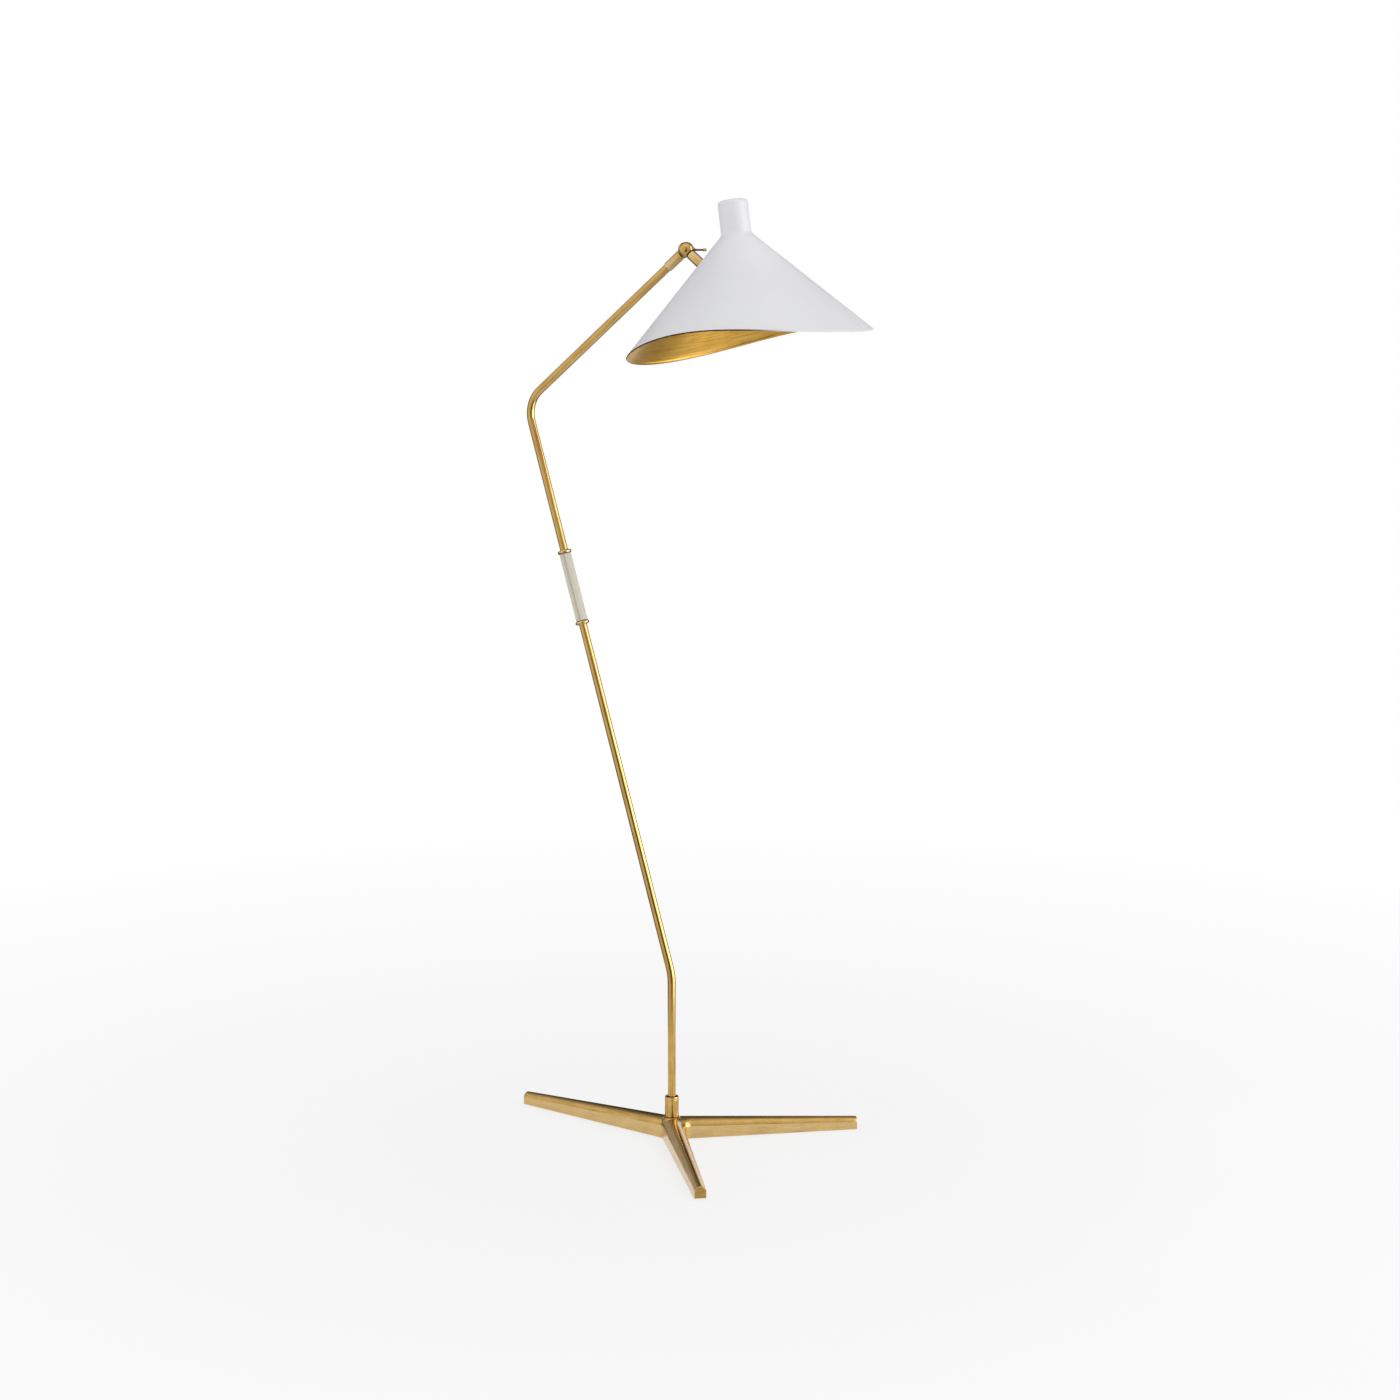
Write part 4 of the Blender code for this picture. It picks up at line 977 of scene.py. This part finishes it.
def rim_sector(inner, ball, low, high, start, end, steps=72):
    """Part of the tongue's rim that closes the ball's slot, turned to the ball's round, between two angles from the stud."""
    along = atan2(side_in.z, side_in.x)
    profile = [(inner, low), *[(sqrt(ball * ball - z * z), z) for z in np.linspace(low, high, 13)], (inner, high)]
    sh = Shape()
    rows = []
    for i in range(steps + 1):
        a = -(along + radians(start + (end - start) * i / steps))
        rows.append([sh.point((r * cos(a), r * sin(a), z)) for r, z in profile])
    n = len(profile)
    for a, b in zip(rows, rows[1:]):
        for k in range(n):
            k2 = (k + 1) % n
            sh.face((a[k], a[k2], b[k2], b[k]), ((0, 0), (0.01, 0), (0.01, 0.01), (0, 0.01)))
    sh.face(rows[0][::-1], [(0, 0)] * n)
    sh.face(rows[-1], [(0, 0)] * n)
    return to_object("tool", sh.outward(), [], TILT @ PIN)


eye = to_object("knuckle_tongue", lathe(soften([(0, 2.3), (7.8, 2.3), (7.8, -3.7), (0, -3.7)], 0.5, closed=False), 96, closed=False), [M_TURNED], TILT @ PIN)
cut(eye, [rim_sector(7.5, 11.8, -3.6, 3.65, -18.0, 128.0), rod_tool(STUD_R, 7.0, STUD_END, HEAD, 48)], "UNION")
cut(eye, [rod_tool(PIN_R + GAP, -10.0, 10.0, TILT @ PIN), rod_tool(1.75, 14.0, STUD_END + 5.0, HEAD, 40)])
piece(eye, "shade_head", "antique_brass", "swivel_tongue")

seat = BALL_R + 0.35
seat_arc = [(r, sqrt(seat * seat - r * r)) for r in np.linspace(STUD_R + GAP, CONNECTOR_R - 0.6, 8)]
link = [(CONNECTOR_R - 0.45, seat_arc[-1][1] + 0.1, 0.0), (CONNECTOR_R - 0.45, seat_arc[-1][1] + 1.9, 0.0)]
link += [(r, z, 0.8 if z < seat_arc[-1][1] + 3.2 else w) for r, z, w in soften(
    [(CONNECTOR_R - 0.4, seat_arc[-1][1] + 2.0), (CONNECTOR_R, seat_arc[-1][1] + 2.5), (CONNECTOR_R, REACH - GAP), (STUD_R + GAP, REACH - GAP)], 0.3, closed=False)]
link += [(r, z, 0.0) for r, z in seat_arc]
# painted shadow on the concave seat and in the gap next to the ball
shaded_seat = by_rule(link, lambda r, z: 1 if z < seat_arc[-1][1] + 1.95 or (z < 14.5 and r < CONNECTOR_R - 0.5) else 0)
piece(to_object("shade_arm", lathe(link, 112, mats=shaded_seat), [M_TURNED, M_SHADOW], HEAD), "shade_head", "antique_brass", "shade_connector")


def shade_shape(around=208):
    """Neck and cone in one sheet, enamelled outside and gilded inside, with a narrow hem on the wavy rim whose cut edge
    carries painted shade.
    """
    white, dark, gold = 0, 1, 2
    sh_, ch_ = sin(HALF_ANGLE), cos(HALF_ANGLE)
    joint, soft = NECK_R / sin(HALF_ANGLE), 4.0
    rows = [("p", 0.0, NECK_TOP, white, 0)]
    crown = NECK_TOP - 7.47
    rows += [("p", 17.85 * t, NECK_TOP - 1.6 * t ** 2.2, white, 0) for t in (0.25, 0.5, 0.75, 0.9)]
    rows += [("p", NECK_R - 6.0 + 6.0 * sin(radians(a)), crown + 6.0 * cos(radians(a)), white, 0) for a in (12, 22, 32, 42, 52, 62, 72, 81, 90)]
    corner = Vector((NECK_R, -joint * ch_))
    top_z, low = corner.y + soft, corner + Vector((sh_, -ch_)) * soft
    rows += [("p", NECK_R, crown + (top_z - crown) * t, white, 0) for t in (0.25, 0.5, 0.75, 1.0)]
    for t in [i / 8 for i in range(1, 9)]:
        p = (corner + Vector((0, soft))) * (1 - t) ** 2 + corner * 2 * t * (1 - t) + low * t * t
        rows.append(("p", p.x, p.y, white, 0))
    first = joint + soft
    spots = [first + (RIM_SLANT - first) * t for t in np.linspace(0, 1, 19)][1:-1]
    rows += [("s", s, 0.0, 0.0, white, 0) for s in spots]
    rows += [("s", RIM_SLANT, -2.5, 0.0, white, 0), ("s", RIM_SLANT, -1.3, 0.0, dark, 0)]
    for a in range(0, 91, 18):
        rows.append(("s", RIM_SLANT, -0.5 + 0.5 * sin(radians(a)), 0.5 - 0.5 * cos(radians(a)), dark, 0))
    rows.append(("s", RIM_SLANT, 0.0, 1.35, dark, 0))
    for a in range(0, 91, 30):
        rows.append(("s", RIM_SLANT, -0.3 + 0.3 * cos(radians(a)), 1.45 + 0.3 * sin(radians(a)), gold if a > 80 else dark, 0))
    rows += [("s", RIM_SLANT, -1.5, 1.75, gold, 0), ("s", RIM_SLANT, -3.2, 1.75, gold, 0), ("s", RIM_SLANT, -3.9, 1.55, gold, 0),
             ("s", RIM_SLANT, -4.5, 1.1, gold, 0), ("s", RIM_SLANT, -5.2, 1.0, gold, 0)]
    rows += [("s", s, 0.0, SHADE_WALL, gold, 0) for s in spots[::-1]]
    inner_low = low + Vector((-ch_, -sh_)) * SHADE_WALL
    for t in [i / 6 for i in range(7)]:
        a, b = Vector((inner_low.x, inner_low.y)), Vector((NECK_R - SHADE_WALL, top_z))
        c = Vector((NECK_R - SHADE_WALL, corner.y - 0.4))
        p = a * (1 - t) ** 2 + c * 2 * t * (1 - t) + b * t * t
        rows.append(("p", p.x, p.y, gold, 0))
    rows += [("p", NECK_R - 1.0, crown, gold, 0)]
    rows += [("p", NECK_R - 6.0 + 5.0 * sin(radians(a)), crown + 5.0 * cos(radians(a)), gold, 0) for a in range(75, -1, -15)]
    rows += [("p", 12.0, NECK_TOP - 1.75, gold, 0), ("p", 0.0, NECK_TOP - 1.0, gold, 0)]
    shape = Shape()
    rim_z = -RIM_SLANT * ch_
    grid, run, previous = [], [0.0], None
    for row in rows:
        line = []
        if row[0] == "p":
            _, r, z, _, w = row
            here = Vector((r, z))
            line = [shape.point((0, 0, z), w)] if r < 1e-6 else [
                shape.point((r * cos(2 * pi * k / around), r * sin(2 * pi * k / around), z), w) for k in range(around)]
        else:
            _, nominal, ds, off, mat_of_row, w = row
            share = min(1.0, max(0.0, (-nominal * ch_ + 100.0) / (rim_z + 100.0)))
            for k in range(around):
                az = 2 * pi * k / around
                slant = nominal * (1 + share * RIM_WAVE * cos(2 * az) / RIM_SLANT) + ds
                r, z = slant * sh_ - off * ch_, -slant * ch_ - off * sh_
                if mat_of_row == dark:                      # painted shade: the cut edge is dark round the arm side and turns white towards the far tip
                    side = min(1.0, max(0.0, (abs((az + pi) % (2 * pi) - pi) - radians(32)) / radians(26)))
                    w = side * side * (3 - 2 * side)
                if k == 0:
                    here = Vector((r, z))
                line.append(shape.point((r * cos(az), r * sin(az), z), w))
        if previous is not None:
            run.append(run[-1] + (here - previous).length * MM)
        previous = here
        grid.append((line, row[4] if row[0] == "s" else row[3]))
    for i in range(len(grid) - 1):
        (a, mat), (b, _) = grid[i], grid[i + 1]
        for k in range(around):
            k2 = (k + 1) % around
            u0, u1 = k / around, (k + 1) / around
            if len(a) == 1:
                shape.face((a[0], b[k2], b[k]), ((u0, run[i]), (u1, run[i + 1]), (u0, run[i + 1])), mat)
            elif len(b) == 1:
                shape.face((a[k], a[k2], b[0]), ((u0, run[i]), (u1, run[i]), (u0, run[i + 1])), mat)
            else:
                shape.face((a[k], a[k2], b[k2], b[k]), ((u0, run[i]), (u1, run[i]), (u1, run[i + 1]), (u0, run[i + 1])), mat)
    return shape.outward()


cone = to_object("lamp_shade", shade_shape(), [M_ENAMEL, M_SHADED_EDGE, M_GOLD], SHADE)
cut(cone, [rod_tool(STUD_R + 0.35, REACH - 6.0, REACH + 6.0, HEAD, 32)])
piece(cone, "shade_head", "white_enamel", "shade_shell")

# lampholder, lead and bulb
holder = soften([(12.6, HOLDER_TOP), (15.0, HOLDER_TOP - 0.9), (HOLDER_R, HOLDER_TOP - 3.2), (HOLDER_R, 2.0), (HOLDER_R - 0.7, 1.4), (HOLDER_R - 0.7, 0.4),
                 (HOLDER_R, -0.2), (HOLDER_R, -22.0), (HOLDER_R - 0.5, -22.4), (HOLDER_R - 0.5, -23.4), (HOLDER_R, -23.8), (HOLDER_R, HOLDER_MOUTH + 0.6),
                 (HOLDER_R - 0.6, HOLDER_MOUTH), (13.95, HOLDER_MOUTH), (13.95, 8.0), (3.4, 8.0), (3.4, HOLDER_TOP)], 0.3, 3)
SIDE = atan2(10.8, -15.4)
body = to_object("holder_casing", lathe(holder, 96), [M_PHENOLIC], SHADE)
cut(body, [rod_tool(1.7, 10.5, 20.0, SHADE @ shift(0, 0, 14.4) @ turn(SIDE, "Z") @ turn(pi / 2, "Y"), 32)])
piece(body, "shade_head", "dark_phenolic", "lampholder_body")


def inner_side(slant, off):
    return Vector((-slant * sin(HALF_ANGLE) + off * cos(HALF_ANGLE), -slant * cos(HALF_ANGLE) - off * sin(HALF_ANGLE)))


def smooth_path(points, per=4):
    pts = [points[0]] + points + [points[-1]]
    out = []
    for i in range(1, len(pts) - 2):
        p0, p1, p2, p3 = pts[i - 1:i + 3]
        for k in range(per):
            t = k / per
            out.append(0.5 * ((2 * p1) + (p2 - p0) * t + (2 * p0 - 5 * p1 + 4 * p2 - p3) * t * t + (3 * p1 - p0 - 3 * p2 + p3) * t ** 3))
    return out + [points[-1]]


start_in, mouth_in = inner_side(ATTACH_SLANT, 9.0), inner_side(ATTACH_SLANT, 15.5)
side_v = Vector((cos(SIDE), sin(SIDE), 0))
knots = [Vector((mouth_in.x, 0, mouth_in.y)), Vector((-45.0, 2.6, -70.5)), Vector((-34.5, 7.5, -57.0)), Vector((-24.0, 10.6, -40.0)),
         side_v * 19.2 + Vector((0, 0, -24.0)), side_v * 18.7 + Vector((0, 0, -8.0)), side_v * 18.7 + Vector((0, 0, 6.0)),
         side_v * 18.3 + Vector((0, 0, 12.2)), side_v * 16.4 + Vector((0, 0, 14.3)), side_v * 12.0 + Vector((0, 0, 14.4))]
lead = [Vector((start_in.x, 0, start_in.y))] + smooth_path(knots, 9)
piece(to_object("shade_flex", sweep(lead, 1.15, sides=20), [M_PVC], SHADE, sharp=60), "shade_head", "brown_pvc", "shade_lead")


def bulb_profile(off, steps):
    neck_r, neck_z = 11.8, -31.0
    d = hypot(neck_r, neck_z - BULB_CENTRE)
    tangent = atan2(neck_z - BULB_CENTRE, neck_r)
    a0 = tangent - (pi / 2 - atan2(BULB_R, sqrt(d * d - BULB_R ** 2)))
    points = [(neck_r - off, -8.0), (neck_r - off, neck_z + 3.0)]
    on_ball = ((BULB_R - off) * cos(a0), BULB_CENTRE + (BULB_R - off) * sin(a0))
    for t in (0.06, 0.16, 0.3, 0.5, 0.75):
        x, z = neck_r - off + (on_ball[0] - neck_r + off) * t, neck_z + 1.0 + (on_ball[1] - neck_z - 1.0) * t
        points.append((x - 0.5 * sin(pi * t) * (1 - t), z))
    for i in range(steps + 1):
        a = a0 + (-pi / 2 - a0) * i / steps
        points.append(((BULB_R - off) * cos(a) if i < steps else 0.0, BULB_CENTRE + (BULB_R - off) * sin(a)))
    return points


glass = [(r, z, 0.0) for r, z in bulb_profile(1.0, 34)[::-1] + bulb_profile(0.0, 34)]
piece(to_object("bulb_envelope", lathe(glass, 88, closed=False), [M_OPAL], SHADE, sharp=50), "shade_head", "opal_glass", "bulb_glass")

# ------------------------------------------------- finishes on kept solids --
KEPT = {"grip_core": M_STEEL, "hub_washer": M_STEEL, "hub_nut": M_STEEL, "stem_nipple": M_STEEL, "pole_lead": M_PVC, "friction_washer": M_STEEL,
        "stud_washer": M_STEEL, "stud_nut": M_STEEL, "socket_bracket": M_STEEL, "holder_nipple": M_STEEL, "holder_nut": M_STEEL,
        "screw_shell": M_THREADED, "centre_contact": M_CONTACT, "bulb_cap": M_THREADED, "bulb_insulator": M_PHENOLIC, "bulb_tip": M_STEEL}
for key, finish in KEPT.items():
    mesh = NODES[key].data
    mesh.materials.clear()
    mesh.materials.append(finish)

# ------------------------------------------------------------------- stage --
CAM_AT, YAW, PITCH = Vector((2.5124, -3.3712, 1.3778)), radians(36.30), radians(9.10)
cam_data = bpy.data.cameras.new("camera")
cam = bpy.data.objects.new("camera", cam_data)
bpy.context.scene.collection.objects.link(cam)
cam_data.lens, cam_data.sensor_width = 70.92, 36.0
cam_data.clip_start, cam_data.clip_end = 0.05, 100.0
look = Vector((-sin(YAW) * cos(PITCH), cos(YAW) * cos(PITCH), -sin(PITCH)))
cam.location = CAM_AT
cam.rotation_euler = look.to_track_quat("-Z", "Y").to_euler()
bpy.context.scene.camera = cam


def stage_disc(name, radius, rings, segments=96):
    sh = Shape()
    centre = sh.point((0, 0, 0))
    rows = []
    for i in range(1, rings + 1):
        r = radius * (i / rings) ** 1.5
        rows.append([sh.point((r * cos(2 * pi * k / segments), r * sin(2 * pi * k / segments), 0)) for k in range(segments)])
    for k in range(segments):
        sh.face((centre, rows[0][k], rows[0][(k + 1) % segments]), ((0, 0),) * 3)
    for a, b in zip(rows, rows[1:]):
        for k in range(segments):
            k2 = (k + 1) % segments
            sh.face((a[k], b[k], b[k2], a[k2]), ((0, 0),) * 4)
    return to_object(name, sh, [])


floor = stage_disc("floor", 14000.0, 24)
f = Finish("pale_floor", (0.86, 0.86, 0.86), 0.0, 0.9, Specular_IOR_Level=0.1)
geo = f.add("ShaderNodeNewGeometry")
span = f.add("ShaderNodeVectorMath", operation="LENGTH")
f.link(geo.outputs["Position"], span.inputs[0])
fade = f.spread(span.outputs["Value"], 0.4, 2.4, 0.72, 1.0)
glow = f.add("ShaderNodeEmission")
glow.inputs["Color"].default_value = (1, 1, 1, 1)
glow.inputs["Strength"].default_value = 1.0
blend = f.add("ShaderNodeMixShader")
f.link(fade, blend.inputs[0])
f.link(f.shader.outputs[0], blend.inputs[1])
f.link(glow.outputs[0], blend.inputs[2])
f.link(blend.outputs[0], f.tree.nodes["Material Output"].inputs["Surface"])
floor.data.materials.append(f.mat)


CAMERA_SIDE = (-53.3 / 360.0) % 1.0


def unseen(ob):
    """Leave an object to the reflections only."""
    ob.visible_camera = ob.visible_diffuse = ob.visible_shadow = ob.visible_transmission = ob.visible_volume_scatter = False


def panel_ramp(g, around, panels, top):
    return g.ramp(around, [((a + 180) / 360.0, (v / top,) * 3) for a, v in panels])


def ring_of(rows, segments, name):
    """Open band through rows of (radius, height); U runs round it and 0.5 faces the camera once it is turned by CAMERA_SIDE."""
    sh = Shape()
    lines = [[sh.point((r * cos(2 * pi * k / segments), r * sin(2 * pi * k / segments), z)) for k in range(segments)] for r, z in rows]
    last = len(rows) - 1
    for i, (a, b) in enumerate(zip(lines, lines[1:])):
        for k in range(segments):
            k2 = (k + 1) % segments
            sh.face((a[k2], a[k], b[k], b[k2]), (((k + 1) / segments, i / last), (k / segments, i / last), (k / segments, (i + 1) / last), ((k + 1) / segments, (i + 1) / last)))
    return to_object(name, sh, [])


def round_from_camera(g):
    uv = g.add("ShaderNodeUVMap", uv_map="UVMap")
    split = g.add("ShaderNodeSeparateXYZ")
    g.link(uv.outputs[0], split.inputs[0])
    return g.math("FRACT", g.math("ADD", split.outputs[0], 1.5 - CAMERA_SIDE))


def glowing(g, level, strength, ob):
    shine = g.add("ShaderNodeEmission")
    g.link(level, shine.inputs["Color"])
    shine.inputs["Strength"].default_value = strength
    g.link(shine.outputs[0], g.tree.nodes["Material Output"].inputs["Surface"])
    ob.data.materials.append(g.mat)
    unseen(ob)


def tent():
    """Round screen of bright and dark panels that only shows in polished metal, as in a product studio."""
    ob = ring_of([(3100.0, z) for z in (2.0, 600.0, 1200.0, 1800.0, 2600.0, 3600.0)], 144, "light_tent")
    g = Finish("tent_light", (0, 0, 0), 0.0, 1.0)
    around = round_from_camera(g)
    low = [(-180, 0.0), (-170, 0.02), (-164, 0.42), (-140, 0.55), (-128, 0.16), (-116, 0.16), (-100, 0.60), (-80, 1.00), (-40, 0.85), (-14, 0.60), (-6, 0.02),
           (14, 0.02), (23, 0.60), (44, 0.80), (52, 4.5), (98, 4.5), (108, 0.40), (120, 0.05), (140, 0.20), (154, 1.25), (168, 1.25), (175, 0.0)]
    high = [(-180, 0.08), (-158, 0.08), (-146, 0.40), (-122, 0.80), (-80, 1.05), (-40, 0.90), (-12, 0.75), (-3, 0.42), (12, 0.42), (20, 0.75), (46, 0.90),
            (58, 3.0), (92, 3.0), (106, 0.80), (140, 0.50), (156, 0.08), (180, 0.08)]
    place = g.add("ShaderNodeNewGeometry")
    upright = g.add("ShaderNodeSeparateXYZ")
    g.link(place.outputs["Position"], upright.inputs[0])
    level = g.mix(g.spread(upright.outputs[2], 1.45, 1.85), panel_ramp(g, around, low, 4.5), panel_ramp(g, around, high, 4.5))
    glowing(g, level, 4.5, ob)


def canopy():
    """Ceiling of the tent: bright over the camera's side, dark behind the lamp."""
    ob = ring_of([(3100.0, 3600.0), (2300.0, 3600.0), (1500.0, 3600.0), (700.0, 3600.0), (20.0, 3600.0)], 144, "light_canopy")
    g = Finish("canopy_light", (0, 0, 0), 0.0, 1.0)
    place = g.add("ShaderNodeNewGeometry")
    along = g.add("ShaderNodeVectorMath", operation="DOT_PRODUCT")
    g.link(place.outputs["Position"], along.inputs[0])
    along.inputs[1].default_value = (0.598, -0.802, 0.0)
    level = g.ramp(g.spread(along.outputs["Value"], -2.4, 2.4), ((0.0, (0.10,) * 3), (0.10, (0.10,) * 3), (0.24, (0.30,) * 3), (0.40, (0.52,) * 3), (0.55, (0.80,) * 3), (1.0, (0.60,) * 3)))
    glowing(g, level, 1.5, ob)


def apron():
    """Strip of cloth round the lamp, a little above the floor, that carries the panels on below the tent."""
    ob = ring_of([(620.0, 1.5), (1100.0, 1.5), (1700.0, 1.5), (2400.0, 1.5), (3100.0, 1.5)], 144, "light_apron")
    g = Finish("apron_light", (0, 0, 0), 0.0, 1.0)
    around = round_from_camera(g)
    panels = [(-180, 0.30), (-150, 0.30), (-122, 0.14), (-108, 0.20), (-92, 0.70), (-60, 0.95), (-30, 0.85), (-14, 0.66), (-6, 0.08), (14, 0.08), (23, 0.66),
              (44, 0.85), (54, 3.6), (96, 3.6), (106, 0.40), (120, 0.10), (150, 0.50), (180, 0.30)]
    place = g.add("ShaderNodeNewGeometry")
    span = g.add("ShaderNodeVectorMath", operation="LENGTH")
    g.link(place.outputs["Position"], span.inputs[0])
    level = g.mix(g.spread(span.outputs["Value"], 0.62, 0.95), (0.9 / 3.6,) * 3, panel_ramp(g, around, panels, 3.6))
    glowing(g, level, 2.9, ob)


canopy()
apron()
tent()

world = bpy.data.worlds.new("studio")
bpy.context.scene.world = world
world.use_nodes = True
wt = world.node_tree
back = wt.nodes["Background"]
back.inputs["Color"].default_value = (0.97, 0.975, 0.98, 1)
back.inputs["Strength"].default_value = 0.62
white = wt.nodes.new("ShaderNodeBackground")
white.inputs["Color"].default_value = (1, 1, 1, 1)
white.inputs["Strength"].default_value = 1.0
gloss = wt.nodes.new("ShaderNodeBackground")
gloss.inputs["Color"].default_value = (0.98, 0.98, 0.98, 1)
gloss.inputs["Strength"].default_value = 0.95
rays = wt.nodes.new("ShaderNodeLightPath")
sky = wt.nodes.new("ShaderNodeMixShader")
wt.links.new(rays.outputs["Is Glossy Ray"], sky.inputs[0])
wt.links.new(back.outputs[0], sky.inputs[1])
wt.links.new(gloss.outputs[0], sky.inputs[2])
pick = wt.nodes.new("ShaderNodeMixShader")
wt.links.new(rays.outputs["Is Camera Ray"], pick.inputs[0])
wt.links.new(sky.outputs[0], pick.inputs[1])
wt.links.new(white.outputs[0], pick.inputs[2])
wt.links.new(pick.outputs[0], wt.nodes["World Output"].inputs["Surface"])


def softbox(name, at, target, size, watts, glossy=False):
    data = bpy.data.lights.new(name, "AREA")
    data.shape, data.size, data.size_y, data.energy = "RECTANGLE", size[0], size[1], watts
    ob = bpy.data.objects.new(name, data)
    bpy.context.scene.collection.objects.link(ob)
    ob.location = at
    ob.rotation_euler = (Vector(target) - Vector(at)).to_track_quat("-Z", "Y").to_euler()
    ob.visible_glossy = glossy
    return ob


softbox("key", (3.2, 0.6, 2.8), (0, 0, 0.9), (2.2, 2.2), 26)
softbox("fill", (-1.6, -3.4, 2.4), (0, 0, 0.9), (2.6, 2.2), 6)
softbox("top", (0.0, 0.0, 3.6), (0, 0, 0), (3.0, 3.0), 16)
bpy.context.scene.view_settings.view_transform = "Standard"
